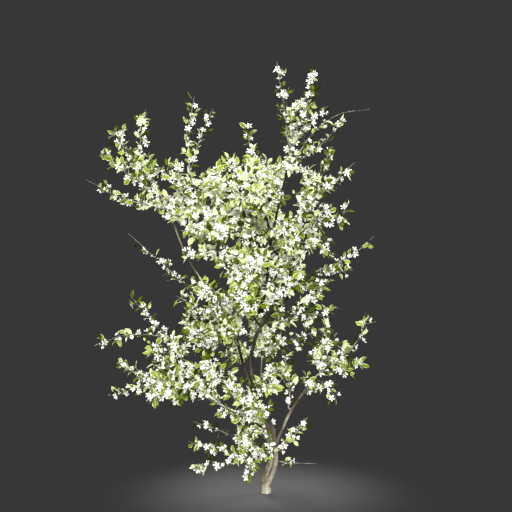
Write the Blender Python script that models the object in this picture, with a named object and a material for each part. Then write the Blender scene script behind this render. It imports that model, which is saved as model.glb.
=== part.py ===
"""Young cherry tree in blossom, 2.16 m tall: one swollen foot that parts into three winding stems, boughs off
them, and masses of twigs with leaves and five-pointed blossoms fused on.

The origin is at the middle of the flat cut at ground level, +Z is up and -Y is the side the tree is seen from.
Every length is in metres. A place is given as (across, deep, up) from the origin.
"""

import math
import random
from collections import namedtuple

import bmesh
import bpy
import numpy as np
from mathutils import Matrix, Vector
from mathutils.kdtree import KDTree

# Driving sizes
GAP = 0.0003  # clear distance between any two solids
FOOT_RADIUS = 0.0255
STEM_SIDES, BOUGH_SIDES = 8, 6
PATH_STEPS = 3  # rings from one waypoint of a stem to the next
BOUGH_RINGS, LEAD_RINGS = 7, 4
TWIG_RADIUS, TWIG_TIP_RADIUS = 0.0021, 0.0012
LEAD_RADIUS = 0.0036
LEAF_LENGTH, LEAF_WIDTH, LEAF_THICKNESS = 0.066, 0.036, 0.0022
LEAF_WIDEST = 0.38  # share of a leaf's length from its root to its widest place
BLOSSOM_RADIUS, BLOSSOM_NOTCH, BLOSSOM_DOME = 0.030, 0.014, 0.004
BLOSSOM_SEAT, BLOSSOM_TILT = 0.6, 0.2  # share of its dome that stands off the twig, and lean towards the tip
GOLDEN = math.radians(137.5)  # turn from one twig to the next round its stem
TWIG_FORK = math.radians(52)
TWIG_LIFT = 0.22  # how far a twig's tip bends up, as a share of its length
SPACE_MARGIN = 0.004  # each mass keeps this far from the surface halfway to its neighbour
LIMB_CLEARANCE = 0.006
TWIG_LEAVES = ((0.96, 0.3), (0.5, 1.0))  # share of the twig's length, and fork off it in radians
TIP_LEAF = (0.97, 0.15)
LEAD_BLOSSOMS = (0.4, 0.8)
APART = 0.040  # least distance between the middles of two leaves or blossoms
SIMPLIFY = 0.37  # share of a mass's faces that stays once its joints are simplified
KEPT_WITHIN = 0.00001  # how near a corner is to a kept place if simplifying has to leave it

BARK = ("cherry_bark", (0.30, 0.28, 0.19, 1), 0.85)
BLOSSOM_AND_LEAF = ("blossom_and_leaf", (0.66, 0.76, 0.38, 1), 0.7)

# The stems that rise from the foot: waypoints up to the fork or tip, then radii at its two ends.
TRUNK_PATH = (
    (0.0, 0.0, 0.0),
    (0.0, 0.0, 0.018),
    (0.0, 0.0, 0.036),
    (0.018, 0.0, 0.066),
    (0.036, 0.0, 0.10),
    (0.049, 0.0, 0.175),
    (0.036, 0.0, 0.305),
    (-0.016, 0.0, 0.425),
    (-0.066, 0.0, 0.545),
    (-0.074, 0.0, 0.69),
)
TRUNK_RADII = (0.0115, 0.0095)  # above the flare
FLARE_HEIGHT = 0.075

Stem = namedtuple("Stem", "name parent share path radii")
STEMS = (
    Stem(
        "stem_right",
        "trunk",
        0.05,
        (
            (-0.014, -0.016, 0.074),
            (0.016, -0.032, 0.165),
            (0.064, -0.038, 0.288),
            (0.128, -0.048, 0.427),
            (0.24, -0.06, 0.585),
        ),
        (0.0085, 0.0055),
    ),
    Stem(
        "stem_left",
        "trunk",
        0.05,
        (
            (0.001, 0.018, 0.074),
            (0.026, 0.026, 0.144),
            (0.030, 0.030, 0.235),
            (-0.006, 0.036, 0.36),
            (-0.052, 0.04, 0.457),
            (-0.104, 0.04, 0.60),
            (-0.15, 0.03, 0.78),
        ),
        (0.0085, 0.0070),
    ),
    Stem(
        "leader",
        "trunk",
        1.0,
        (
            (-0.05, 0.0, 0.785),
            (-0.015, 0.0, 0.865),
            (0.004, 0.015, 1.04),
            (0.026, 0.03, 1.265),
            (0.096, 0.03, 1.57),
            (0.116, 0.03, 1.68),
        ),
        (0.0088, 0.0045),
    ),
    Stem(
        "bough_long",
        "stem_left",
        1.0,
        (
            (-0.206, 0.03, 0.90),
            (-0.282, 0.03, 1.00),
            (-0.404, 0.05, 1.19),
            (-0.487, 0.07, 1.40),
        ),
        (0.0060, 0.0032),
    ),
)

# A bough is one arc: the share of its parent's length where it springs, its tip, and how far its middle bows.
Bough = namedtuple("Bough", "name parent share tip bow radii")
BOUGHS = (
    Bough("bough_low_left", "trunk", 0.54, (-0.35, 0.02, 0.51), (0, -0.01, -0.025), (0.0055, 0.0034)),
    Bough("bough_mid_left", "stem_left", 0.75, (-0.39, 0.05, 0.70), (0, 0, 0.018), (0.0052, 0.0034)),
    Bough("bough_back_low", "stem_left", 0.52, (-0.02, 0.30, 0.62), (0, 0.03, -0.02), (0.0050, 0.0034)),
    Bough("bough_right", "leader", 0.18, (0.247, -0.05, 1.106), (0, -0.02, 0), (0.0055, 0.0034)),
    Bough("bough_front_mid", "leader", 0.15, (-0.10, -0.27, 1.0), (0, -0.03, -0.02), (0.0050, 0.0034)),
    Bough("bough_back_mid", "leader", 0.30, (0.08, 0.30, 1.14), (0, 0.03, -0.02), (0.0050, 0.0034)),
    Bough("bough_upper_left", "leader", 0.43, (-0.40, -0.05, 1.44), (0, -0.03, 0.045), (0.0058, 0.0034)),
    Bough("bough_upper_right", "leader", 0.51, (0.21, 0.10, 1.33), (0, 0, -0.015), (0.0048, 0.0034)),
    Bough("bough_front_high", "leader", 0.56, (0.0, -0.22, 1.40), (0, -0.03, -0.02), (0.0048, 0.0034)),
    Bough("bough_back_high", "leader", 0.62, (-0.03, 0.27, 1.50), (0, 0.03, -0.02), (0.0048, 0.0034)),
)

# The leading shoots of every mass. The first row of a mass springs from a limb and its later rows from that
# first shoot; then come the share of the parent's length, the tip, the bow, and the reach and count of twigs.
Shoot = namedtuple("Shoot", "mass parent share tip bow reach twigs")
SHOOTS = (
    # the top
    Shoot("spire", "leader", 1.0, (0.055, 0.0, 2.155), (0.005, 0, 0), 0.06, 4),
    Shoot("spire", "spire", 0.12, (0.235, -0.03, 2.11), (0.02, -0.01, 0), 0.08, 4),
    Shoot("spire", "spire", 0.08, (0.31, 0.03, 1.94), (0, 0.01, 0.01), 0.06, 3),
    Shoot("spire", "spire", 0.05, (0.16, 0.08, 1.98), (0, 0.01, 0), 0.08, 3),
    Shoot("spire", "spire", 0.02, (0.13, -0.12, 1.60), (0, 0, 0.02), 0.08, 3),
    Shoot("arm_top_right", "leader", 0.93, (0.52, 0.02, 1.925), (-0.04, 0.01, 0.08), 0.05, 4),
    Shoot("arm_top_right", "arm_top_right", 0.12, (0.39, -0.08, 1.86), (0, 0, -0.02), 0.045, 3),
    Shoot("crest", "leader", 0.72, (-0.092, -0.05, 1.85), (-0.03, -0.02, 0.0), 0.04, 3),
    Shoot("crest", "crest", 0.16, (-0.17, -0.14, 1.62), (0, 0, 0.02), 0.12, 3),
    Shoot("crest", "crest", 0.45, (-0.03, 0.02, 1.67), (0, 0, 0.03), 0.055, 3),
    Shoot("heart_high", "leader", 0.84, (-0.05, 0.15, 1.62), (0, 0, 0.03), 0.12, 3),
    # the upper left
    Shoot("far_left", "bough_upper_left", 1.0, (-0.885, -0.05, 1.56), (0, 0, -0.05), 0.055, 4),
    Shoot("far_left", "far_left", 0.10, (-0.80, -0.12, 1.70), (0, 0, -0.03), 0.055, 4),
    Shoot("far_left_high", "bough_long", 1.0, (-0.61, 0.08, 1.935), (-0.08, 0, 0), 0.06, 4),
    Shoot("far_left_high", "far_left_high", 0.35, (-0.76, 0.04, 1.82), (-0.02, 0, 0), 0.07, 4),
    Shoot("far_left_high", "far_left_high", 0.25, (-0.66, 0.06, 1.66), (0, 0, 0), 0.07, 3),
    Shoot("band_upper", "bough_upper_left", 0.72, (-0.55, -0.22, 1.60), (0, 0, 0.05), 0.10, 4),
    Shoot("band_upper", "band_upper", 0.22, (-0.48, -0.22, 1.36), (0, 0, 0), 0.11, 3),
    Shoot("twins", "bough_upper_left", 0.86, (-0.356, 0.0, 1.985), (-0.05, 0.02, 0), 0.04, 3),
    Shoot("twins", "twins", 0.35, (-0.269, 0.04, 1.93), (-0.01, 0, 0), 0.04, 3),
    Shoot("twins", "twins", 0.08, (-0.50, 0.12, 1.46), (0, 0, 0.02), 0.11, 4),
    Shoot("crown_front_left", "bough_upper_left", 0.45, (-0.28, -0.44, 1.57), (0, 0, 0.02), 0.11, 4),
    Shoot("crown_front_left", "crown_front_left", 0.12, (-0.36, -0.27, 1.33), (0, 0, 0), 0.13, 3),
    Shoot("crown_front_left", "crown_front_left", 0.25, (-0.21, -0.46, 1.28), (0, 0, 0), 0.12, 3),
    Shoot("crown_back_left", "bough_back_high", 0.65, (-0.33, 0.42, 1.60), (0, 0, 0.02), 0.13, 3),
    Shoot("crown_back_left", "crown_back_left", 0.25, (-0.35, 0.22, 1.28), (0, 0, 0), 0.13, 3),
    Shoot("crown_back_left", "crown_back_left", 0.35, (-0.20, 0.46, 1.36), (0, 0, 0), 0.12, 3),
    # the upper middle and right
    Shoot("crown_front", "bough_front_high", 1.0, (-0.11, -0.54, 1.56), (0, -0.03, -0.03), 0.12, 3),
    Shoot("crown_front", "crown_front", 0.10, (0.0, -0.50, 1.42), (0, 0, 0.01), 0.12, 3),
    Shoot("crown_front", "crown_front", 0.30, (-0.17, -0.46, 1.44), (0, 0, 0.01), 0.12, 3),
    Shoot("crown_front_right", "bough_front_high", 0.6, (0.12, -0.42, 1.24), (0, 0, 0.02), 0.11, 3),
    Shoot("crown_back", "bough_back_high", 1.0, (-0.06, 0.58, 1.64), (0, 0, -0.01), 0.13, 3),
    Shoot("crown_back", "crown_back", 0.10, (0.09, 0.40, 1.64), (0, 0, 0.02), 0.10, 3),
    Shoot("crown_back", "crown_back", 0.20, (0.05, 0.55, 1.42), (0, 0, 0.02), 0.12, 3),
    Shoot("crown_back_right", "leader", 0.67, (0.29, 0.45, 1.29), (0, 0.02, 0.02), 0.10, 3),
    Shoot("right_high", "leader", 0.60, (0.44, -0.05, 1.65), (0, 0, 0), 0.055, 4),
    Shoot("right_high", "right_high", 0.35, (0.22, -0.08, 1.60), (0, 0, 0), 0.09, 3),
    Shoot("right_high", "right_high", 0.30, (0.33, 0.05, 1.56), (0, 0, 0), 0.07, 3),
    Shoot("right_high", "right_high", 0.45, (0.32, 0.0, 1.73), (0.01, 0, 0), 0.045, 3),
    Shoot("right_shoulder", "bough_upper_right", 1.0, (0.42, 0.10, 1.42), (0, 0, -0.03), 0.07, 4),
    Shoot("right_shoulder", "right_shoulder", 0.15, (0.30, 0.0, 1.45), (0, 0, 0), 0.07, 3),
    Shoot("right_rear", "bough_upper_right", 0.55, (0.35, 0.24, 1.19), (0, 0, 0.03), 0.09, 4),
    Shoot("right_rear", "right_rear", 0.15, (0.17, 0.21, 1.16), (0, 0, 0), 0.11, 3),
    Shoot("heart_left", "leader", 0.36, (-0.27, -0.12, 1.22), (0, 0, 0.02), 0.13, 3),
    Shoot("heart_left", "heart_left", 0.22, (-0.10, -0.20, 1.33), (0, 0, 0.02), 0.13, 3),
    Shoot("heart_left", "heart_left", 0.10, (0.14, -0.14, 1.20), (0, 0, 0.02), 0.085, 3),
    Shoot("heart_left", "heart_left", 0.50, (-0.41, -0.08, 1.21), (0, 0, 0.01), 0.07, 3),
    # the middle
    Shoot("right_reach", "bough_right", 1.0, (0.54, -0.05, 1.29), (0, 0, -0.03), 0.035, 4),
    Shoot("right_reach", "right_reach", 0.10, (0.41, -0.16, 1.13), (0, 0, -0.02), 0.035, 3),
    Shoot("right_arc", "leader", 0.10, (0.33, 0.06, 1.07), (0, 0.01, -0.02), 0.09, 4),
    Shoot("right_arc", "right_arc", 0.35, (0.32, 0.03, 0.88), (0, 0.0, 0.02), 0.07, 3),
    Shoot("mid_front", "bough_front_mid", 1.0, (-0.16, -0.56, 1.20), (0, -0.03, -0.02), 0.12, 3),
    Shoot("mid_front", "mid_front", 0.08, (-0.02, -0.38, 1.24), (0, 0, 0), 0.12, 3),
    Shoot("mid_front", "mid_front", 0.12, (-0.10, -0.56, 0.95), (0, 0, 0), 0.12, 3),
    Shoot("mid_front_right", "bough_front_mid", 0.6, (0.14, -0.46, 1.08), (0, 0, 0.01), 0.11, 4),
    Shoot("mid_back", "bough_back_mid", 1.0, (0.10, 0.60, 1.26), (0, 0, 0.01), 0.13, 3),
    Shoot("mid_back", "mid_back", 0.08, (-0.07, 0.40, 1.38), (0, 0, 0), 0.12, 3),
    Shoot("mid_back", "mid_back", 0.15, (0.06, 0.54, 1.04), (0, 0, 0), 0.12, 3),
    Shoot("mid_back_left", "bough_back_mid", 0.5, (-0.20, 0.52, 1.18), (0, 0, 0.01), 0.13, 3),
    Shoot("mid_back_left", "mid_back_left", 0.20, (-0.14, 0.50, 0.97), (0, 0, 0.01), 0.12, 3),
    Shoot("mid_back_right", "bough_back_mid", 0.75, (0.26, 0.47, 1.0), (0, 0, 0.02), 0.11, 4),
    Shoot("left_thin", "bough_long", 0.25, (-0.69, 0.0, 1.30), (0, 0, -0.01), 0.04, 4),
    Shoot("left_centre", "stem_left", 0.95, (-0.25, -0.38, 1.04), (0, 0, 0.01), 0.10, 3),
    Shoot("left_centre", "left_centre", 0.30, (-0.36, -0.12, 1.08), (0, 0, 0.02), 0.09, 3),
    Shoot("left_centre", "left_centre", 0.35, (-0.44, -0.10, 0.99), (0, 0, 0), 0.06, 3),
    Shoot("left_centre", "left_centre", 0.12, (-0.13, -0.20, 1.03), (0, 0, 0.02), 0.11, 3),
    Shoot("left_centre", "left_centre", 0.20, (-0.26, -0.38, 0.83), (0, 0, 0.0), 0.075, 3),
    Shoot("left_mid", "bough_mid_left", 1.0, (-0.68, 0.0, 0.99), (0, 0, -0.02), 0.055, 4),
    Shoot("left_mid", "left_mid", 0.30, (-0.85, -0.05, 0.74), (0, 0, 0.035), 0.045, 4),
    Shoot("left_mid", "left_mid", 0.06, (-0.46, -0.16, 0.71), (0, 0, 0), 0.10, 3),
    Shoot("left_mid_back", "bough_mid_left", 0.6, (-0.44, 0.45, 0.82), (0, 0, 0.02), 0.13, 4),
    Shoot("left_mid_back", "left_mid_back", 0.10, (-0.25, 0.14, 0.94), (0, 0, 0.02), 0.12, 3),
    # the lower crown
    Shoot("left_low", "bough_low_left", 1.0, (-0.80, 0.05, 0.48), (0, 0, 0.03), 0.075, 4),
    Shoot("left_low", "left_low", 0.20, (-0.73, -0.10, 0.66), (-0.02, 0, 0), 0.07, 4),
    Shoot("left_low", "left_low", 0.10, (-0.57, 0.10, 0.70), (0, 0, 0), 0.10, 4),
    Shoot("left_low_front", "bough_low_left", 0.8, (-0.51, -0.35, 0.62), (0, 0, 0.02), 0.11, 4),
    Shoot("left_low_front", "left_low_front", 0.15, (-0.55, -0.25, 0.53), (0, 0, 0), 0.095, 4),
    Shoot("left_low_back", "bough_low_left", 0.62, (-0.50, 0.40, 0.56), (0, 0, 0.02), 0.12, 4),
    Shoot("trunk_front_left", "trunk", 0.56, (-0.12, -0.27, 0.56), (0, -0.02, 0), 0.10, 4),
    Shoot("trunk_front_left", "trunk_front_left", 0.18, (-0.32, -0.14, 0.67), (0, 0, 0), 0.12, 4),
    Shoot("trunk_front_left", "trunk_front_left", 0.10, (-0.24, -0.13, 0.43), (0, 0, -0.01), 0.06, 3),
    Shoot("trunk_front_right", "trunk", 0.78, (0.05, -0.38, 0.59), (0, -0.02, 0), 0.065, 4),
    Shoot("low_back", "bough_back_low", 1.0, (-0.05, 0.56, 0.88), (0, 0, 0.0), 0.12, 3),
    Shoot("low_back", "low_back", 0.08, (-0.20, 0.36, 0.63), (0, 0, 0.02), 0.11, 3),
    Shoot("low_back", "low_back", 0.15, (0.03, 0.50, 0.70), (0, 0, 0.0), 0.11, 3),
    Shoot("low_back_right", "bough_back_low", 0.7, (0.13, 0.48, 0.54), (0, 0, 0.02), 0.08, 4),
    Shoot("right_inner", "leader", 0.03, (0.25, 0.12, 0.80), (0, 0, -0.01), 0.08, 4),
    Shoot("right_low", "stem_right", 1.0, (0.50, -0.10, 0.90), (0.04, 0, -0.02), 0.045, 4),
    Shoot("right_low", "right_low", 0.12, (0.46, 0.02, 0.635), (0, 0, -0.01), 0.075, 4),
    Shoot("right_low", "right_low", 0.08, (0.31, -0.08, 0.82), (-0.02, 0, 0), 0.09, 4),
    Shoot("right_low", "right_low", 0.05, (0.39, -0.02, 0.72), (0, 0, 0), 0.09, 3),
    Shoot("right_low_hang", "stem_right", 0.86, (0.34, -0.14, 0.50), (0, 0, 0.05), 0.06, 4),
    Shoot("right_low_hang", "right_low_hang", 0.10, (0.20, -0.16, 0.59), (0, 0, 0.01), 0.055, 3),
    Shoot("right_low_inner", "stem_right", 0.68, (0.075, -0.03, 0.72), (0.02, 0, 0), 0.06, 3),
    # low down, round the foot
    Shoot("foot_left", "trunk", 0.27, (-0.38, -0.10, 0.28), (0, -0.04, -0.01), 0.05, 4),
    Shoot("foot_left", "foot_left", 0.12, (-0.36, -0.04, 0.365), (0, 0, 0.02), 0.035, 2),
    Shoot("foot_left", "foot_left", 0.25, (-0.36, -0.22, 0.185), (0, 0, -0.01), 0.045, 3),
    Shoot("foot_left", "foot_left", 0.30, (-0.08, -0.27, 0.14), (0, 0, 0), 0.04, 2),
    Shoot("foot_left", "foot_left", 0.08, (0.01, -0.21, 0.26), (0, 0, 0.01), 0.09, 3),
    Shoot("foot_left", "foot_left", 0.15, (-0.15, -0.15, 0.37), (0, 0, 0.01), 0.09, 3),
    Shoot("foot_left", "foot_left", 0.20, (-0.10, -0.12, 0.19), (0, 0, 0.01), 0.08, 3),
    Shoot("foot_right", "stem_right", 0.33, (0.20, -0.12, 0.40), (0, -0.02, -0.01), 0.045, 4),
    Shoot("foot_right_bare", "trunk", 0.235, (0.25, -0.03, 0.155), (0, 0, -0.005), 0.03, 2),
    Shoot("foot_back", "stem_left", 0.32, (-0.06, 0.42, 0.31), (0, 0, 0.01), 0.10, 4),
)
BARE_TIPS = {
    "spire": 0.04,
    "arm_top_right": 0.35,
    "foot_right_bare": 0.64,
    "left_thin": 0.12,
    "far_left": 0.12,
    "right_reach": 0.12,
    "left_low": 0.06,
}

Line = namedtuple("Line", "name mass points radii reach twigs")


# ---------------------------------------------------------------- paths


def smooth(path, steps):
    """A Catmull-Rom curve through the waypoints of path."""
    way = [Vector(p) for p in path]
    way = [2 * way[0] - way[1]] + way + [2 * way[-1] - way[-2]]
    points = [way[1]]
    for a, b, c, d in zip(way, way[1:], way[2:], way[3:]):
        for k in range(1, steps + 1):
            t = k / steps
            bend = (2 * a - 5 * b + 4 * c - d) * t * t + (3 * b - a - 3 * c + d) * t**3
            points.append(b + 0.5 * ((c - a) * t + bend))
    return points


def arc(root, tip, bow, count):
    """count points of a parabola from root to tip whose middle stands bow off the straight line."""
    shares = [k / (count - 1) for k in range(count)]
    return [root.lerp(tip, t) + 4 * t * (1 - t) * Vector(bow) for t in shares]


def lengths(points):
    steps = [(b - a).length for a, b in zip(points, points[1:])]
    return [sum(steps[:k]) for k in range(len(points))]


def station(line, share):
    """Place, direction and radius at a share of a line's length."""
    along = lengths(line.points)
    want = share * along[-1]
    k = max(i for i in range(len(along) - 1) if along[i] <= want + 1e-9)
    t = (want - along[k]) / (along[k + 1] - along[k])
    place = line.points[k].lerp(line.points[k + 1], t)
    heading = (line.points[k + 1] - line.points[k]).normalized()
    return place, heading, line.radii[k] + t * (line.radii[k + 1] - line.radii[k])


def taper(points, root_radius, tip_radius):
    along = lengths(points)
    return [root_radius + (tip_radius - root_radius) * a / along[-1] for a in along]


def sideways(heading, turn):
    """A unit vector square to heading, turned round it from the highest such direction."""
    flat = Vector((0, 0, 1)) if abs(heading.z) < 0.95 else Vector((0, -1, 0))
    up = (flat - flat.dot(heading) * heading).normalized()
    return up * math.cos(turn) + heading.cross(up) * math.sin(turn)


# ---------------------------------------------------------------- the skeleton


def flare(points, radii):
    """Swells the lowest part of the trunk into its foot."""
    swollen = []
    for point, radius in zip(points, radii):
        rise = min(point.z / FLARE_HEIGHT, 1)
        swollen.append(radius + (FOOT_RADIUS - radius) * (1 - rise**2.2))
    return swollen


def grow_limbs():
    path = smooth(TRUNK_PATH, PATH_STEPS)
    trunk = Line("trunk", None, path, flare(path, taper(path, *TRUNK_RADII)), 0, 0)
    limbs = {"trunk": trunk}
    for stem in STEMS:
        root, heading, _ = station(limbs[stem.parent], stem.share)
        if stem.share == 1:
            root = root + GAP * heading
        path = smooth((root,) + stem.path, PATH_STEPS)
        limbs[stem.name] = Line(stem.name, None, path, taper(path, *stem.radii), 0, 0)
    for bough in BOUGHS:
        root, _, _ = station(limbs[bough.parent], bough.share)
        path = arc(root, Vector(bough.tip), bough.bow, BOUGH_RINGS)
        limbs[bough.name] = Line(bough.name, None, path, taper(path, *bough.radii), 0, 0)
    return limbs


def grow_shoots(limbs):
    """The leading shoots of each mass, as lines that start clear of their limb or inside their own mass."""
    masses = {}
    for shoot in SHOOTS:
        own = masses.setdefault(shoot.mass, [])
        tip = Vector(shoot.tip)
        place, heading, thickness = station(own[0] if own else limbs[shoot.parent], shoot.share)
        if own:
            path = arc(place, tip, shoot.bow, LEAD_RINGS)
            root_radius = 0.85 * thickness
        else:
            if shoot.share < 1:
                aim = tip - place
                heading = (aim - aim.dot(heading) * heading).normalized()
                place = place + (thickness + GAP) * heading
            else:
                place = place + GAP * heading
            root_radius = min(LEAD_RADIUS, 0.9 * thickness)
            path = [place] + arc(place + 0.012 * heading, tip, shoot.bow, LEAD_RINGS)
        name = f"{shoot.mass}_{len(own)}"
        radii = taper(path, root_radius, TWIG_TIP_RADIUS)
        own.append(Line(name, shoot.mass, path, radii, shoot.reach, shoot.twigs))
    return masses


def grow_twigs(lead):
    """Twigs all round a leading shoot, by a seeded rule: a golden turn apart, shorter towards its tip."""
    chance = random.Random(lead.name)
    turn = chance.uniform(0, 2 * math.pi)
    bare = BARE_TIPS.get(lead.mass, 0) if lead.name.endswith("_0") else 0
    twigs = []
    for k in range(lead.twigs):
        share = (0.16 + 0.80 * (k + 0.5) / lead.twigs) * (1 - bare)
        place, heading, thickness = station(lead, share)
        turn += GOLDEN + chance.uniform(-0.3, 0.3)
        fork = TWIG_FORK + chance.uniform(-0.2, 0.2)
        way = heading * math.cos(fork) + sideways(heading, turn) * math.sin(fork)
        length = lead.reach * (0.95 - 0.45 * share) * chance.uniform(0.85, 1.1)
        rise = Vector((0, 0, TWIG_LIFT * length))
        path = [place, place + length * way + rise]
        radius = min(TWIG_RADIUS, 0.8 * thickness)
        twigs.append(Line(f"{lead.name}_{k}", lead.mass, path, taper(path, radius, TWIG_TIP_RADIUS), 0, 0))
    return twigs


# ---------------------------------------------------------------- leaves and blossoms, as matrices


def leaf_places(line, stations, chance):
    """Leaves along a line, at pairs of a share of its length and the angle by which the leaf forks off."""
    places = []
    for share, fork in stations:
        place, heading, _ = station(line, share)
        side = sideways(heading, chance.uniform(0, 2 * math.pi))
        way = (heading * math.cos(fork) + side * math.sin(fork)).normalized()
        size = chance.uniform(0.85, 1.1)
        places.append(facing(place - 0.006 * way, way, chance.uniform(0, 2 * math.pi), size))
    return places


def blossom_places(line, shares, chance):
    places = []
    for share in shares:
        place, heading, thickness = station(line, share)
        side = sideways(heading, chance.uniform(0, 2 * math.pi))
        way = (BLOSSOM_TILT * heading + side).normalized()
        size = chance.uniform(0.85, 1.08)
        rise = 0.5 * thickness + BLOSSOM_SEAT * BLOSSOM_DOME
        places.append(facing(place + rise * side, way, chance.uniform(0, 2 * math.pi), size))
    return places


def facing(place, way, turn, size):
    """A matrix that sends +Z to way, turns by turn about it, and scales by size."""
    spin = way.to_track_quat("Z", "Y").to_matrix().to_4x4()
    return Matrix.Translation(place) @ spin @ Matrix.Rotation(turn, 4, "Z") @ Matrix.Scale(size, 4)


def make_leaf():
    """A pointed leaf of eight faces that lies along +Z from its root."""
    bm = bmesh.new()
    bmesh.ops.create_uvsphere(bm, u_segments=4, v_segments=2, radius=0.5)
    for vert in bm.verts:
        waist = abs(vert.co.z) < 0.1
        vert.co.x *= LEAF_WIDTH
        vert.co.y *= LEAF_THICKNESS
        vert.co.z = LEAF_LENGTH * (LEAF_WIDEST if waist else 0.5 + vert.co.z)
    mesh = bpy.data.meshes.new("leaf")
    bm.to_mesh(mesh)
    bm.free()
    return mesh


def make_blossom():
    """A five-pointed star that faces +Z, with a low dome on either side."""
    bm = bmesh.new()
    bmesh.ops.create_uvsphere(bm, u_segments=10, v_segments=2, radius=1)
    rim = sorted((v for v in bm.verts if abs(v.co.z) < 0.5), key=lambda v: math.atan2(v.co.y, v.co.x))
    for k, vert in enumerate(rim):
        vert.co = vert.co * (BLOSSOM_RADIUS if k % 2 else BLOSSOM_NOTCH)
        vert.co.z = 0.004 if k % 2 else 0
    for vert in bm.verts:
        if vert not in rim:
            vert.co.z *= BLOSSOM_DOME
    mesh = bpy.data.meshes.new("blossom")
    bm.to_mesh(mesh)
    bm.free()
    return mesh


# ---------------------------------------------------------------- the space rule


class Space:
    """Tells whether a piece stays in its own mass's space: within reach of that mass's shoots, nearer to them
    than to any other's, and clear of every limb."""

    def __init__(self, limbs, masses):
        self.heads, self.tails, self.owners, self.reaches = [], [], [], []
        self.limb_heads, self.limb_tails, self.limb_radii = [], [], []
        for number, leads in enumerate(masses.values()):
            for lead in leads:
                self.heads += lead.points[:-1]
                self.tails += lead.points[1:]
                self.owners += [number] * (len(lead.points) - 1)
                self.reaches += [lead.reach] * (len(lead.points) - 1)
        for limb in limbs.values():
            self.limb_heads += limb.points[:-1]
            self.limb_tails += limb.points[1:]
            self.limb_radii += limb.radii[:-1]
        self.numbers = {mass: number for number, mass in enumerate(masses)}
        self.heads, self.tails = np.array(self.heads), np.array(self.tails)
        self.owners, self.reaches = np.array(self.owners), np.array(self.reaches)
        self.limb_heads, self.limb_tails = np.array(self.limb_heads), np.array(self.limb_tails)
        self.limb_radii = np.array(self.limb_radii)

    def holds(self, mass, points):
        points = np.array(points)
        far = distances(points, self.heads, self.tails)
        mine = self.owners == self.numbers[mass]
        if np.any(far[:, mine].min(1) + 2 * SPACE_MARGIN > far[:, ~mine].min(1)):
            return False
        if np.any((far[:, mine] - self.reaches[mine]).min(1) > 0):
            return False
        limb = distances(points, self.limb_heads, self.limb_tails) - self.limb_radii
        return bool(limb.min() > LIMB_CLEARANCE) and bool(points[:, 2].min() > LIMB_CLEARANCE)


def distances(points, heads, tails):
    """Distance of every point to every straight piece from a head to its tail."""
    along = tails - heads
    away = points[:, None, :] - heads[None]
    share = np.clip((away * along).sum(2) / (along * along).sum(1), 0, 1)
    return np.linalg.norm(away - share[:, :, None] * along, axis=2)


def samples(mesh, matrix):
    """Corners and edge middles of a piece, by which the space rule tests it."""
    corners = [matrix @ v.co for v in mesh.vertices]
    middles = [(corners[e.vertices[0]] + corners[e.vertices[1]]) / 2 for e in mesh.edges]
    return corners + middles


# ---------------------------------------------------------------- solids


def triangle_profile():
    """The three-sided section of twigs, as a curve that bevels other curves."""
    data = bpy.data.curves.new("twig_section", "CURVE")
    spline = data.splines.new("POLY")
    spline.points.add(2)
    for k in range(3):
        turn = 2 * math.pi * k / 3
        spline.points[k].co = (math.cos(turn), math.sin(turn), 0, 1)
    spline.use_cyclic_u = True
    section = bpy.data.objects.new("twig_section", data)
    section.hide_render = True
    section.display_type = "WIRE"
    bpy.context.scene.collection.objects.link(section)
    return section


def tube(line, sides=0, section=None, swell=0.0):
    """A closed mesh tube along a line, round with so many sides or with the given section."""
    data = bpy.data.curves.new(line.name, "CURVE")
    data.dimensions = "3D"
    data.twist_mode = "MINIMUM"
    data.use_fill_caps = True
    if section:
        data.bevel_mode = "OBJECT"
        data.bevel_object = section
    else:
        data.bevel_depth = 1
        data.bevel_resolution = (sides - 4) // 2
    spline = data.splines.new("POLY")
    spline.points.add(len(line.points) - 1)
    for point, place, radius in zip(spline.points, line.points, line.radii):
        point.co = (*place, 1)
        point.radius = radius + swell
    curve = bpy.data.objects.new(line.name, data)
    bpy.context.scene.collection.objects.link(curve)
    bpy.context.view_layer.update()
    mesh = bpy.data.meshes.new_from_object(curve.evaluated_get(bpy.context.evaluated_depsgraph_get()))
    bpy.data.objects.remove(curve)
    bpy.data.curves.remove(data)
    bm = bmesh.new()
    bm.from_mesh(mesh)
    bmesh.ops.remove_doubles(bm, verts=bm.verts, dist=1e-6)
    bmesh.ops.recalc_face_normals(bm, faces=bm.faces)
    bm.to_mesh(mesh)
    bm.free()
    mesh.name = line.name
    return mesh


def add_object(name, mesh, collection):
    thing = bpy.data.objects.new(name, mesh)
    collection.objects.link(thing)
    return thing


def add_boolean(target, operation, cutter=None, collection=None):
    cut = target.modifiers.new(operation.title(), "BOOLEAN")
    cut.operation = operation
    if collection:
        cut.operand_type = "COLLECTION"
        cut.collection = collection
    else:
        cut.object = cutter


def apply_modifiers(target):
    """Replaces an object's mesh by what its modifiers make of it."""
    bpy.context.view_layer.update()
    mesh = bpy.data.meshes.new_from_object(target.evaluated_get(bpy.context.evaluated_depsgraph_get()))
    target.modifiers.clear()
    old = target.data
    target.data = mesh
    bpy.data.meshes.remove(old)
    mesh.name = target.name


def keep_largest(mesh):
    """Drops loose scraps and sealed hollows, which share no corner with the outer skin."""
    bm = bmesh.new()
    bm.from_mesh(mesh)
    bmesh.ops.triangulate(bm, faces=bm.faces)
    islands, seen = [], set()
    for first in bm.verts:
        if first in seen:
            continue
        island, queue = [], [first]
        seen.add(first)
        while queue:
            vert = queue.pop()
            island.append(vert)
            for edge in vert.link_edges:
                other = edge.other_vert(vert)
                if other not in seen:
                    seen.add(other)
                    queue.append(other)
        islands.append(island)
    islands.sort(key=len)
    for island in islands[:-1]:
        bmesh.ops.delete(bm, geom=island, context="VERTS")
    bm.to_mesh(mesh)
    bm.free()


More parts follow.
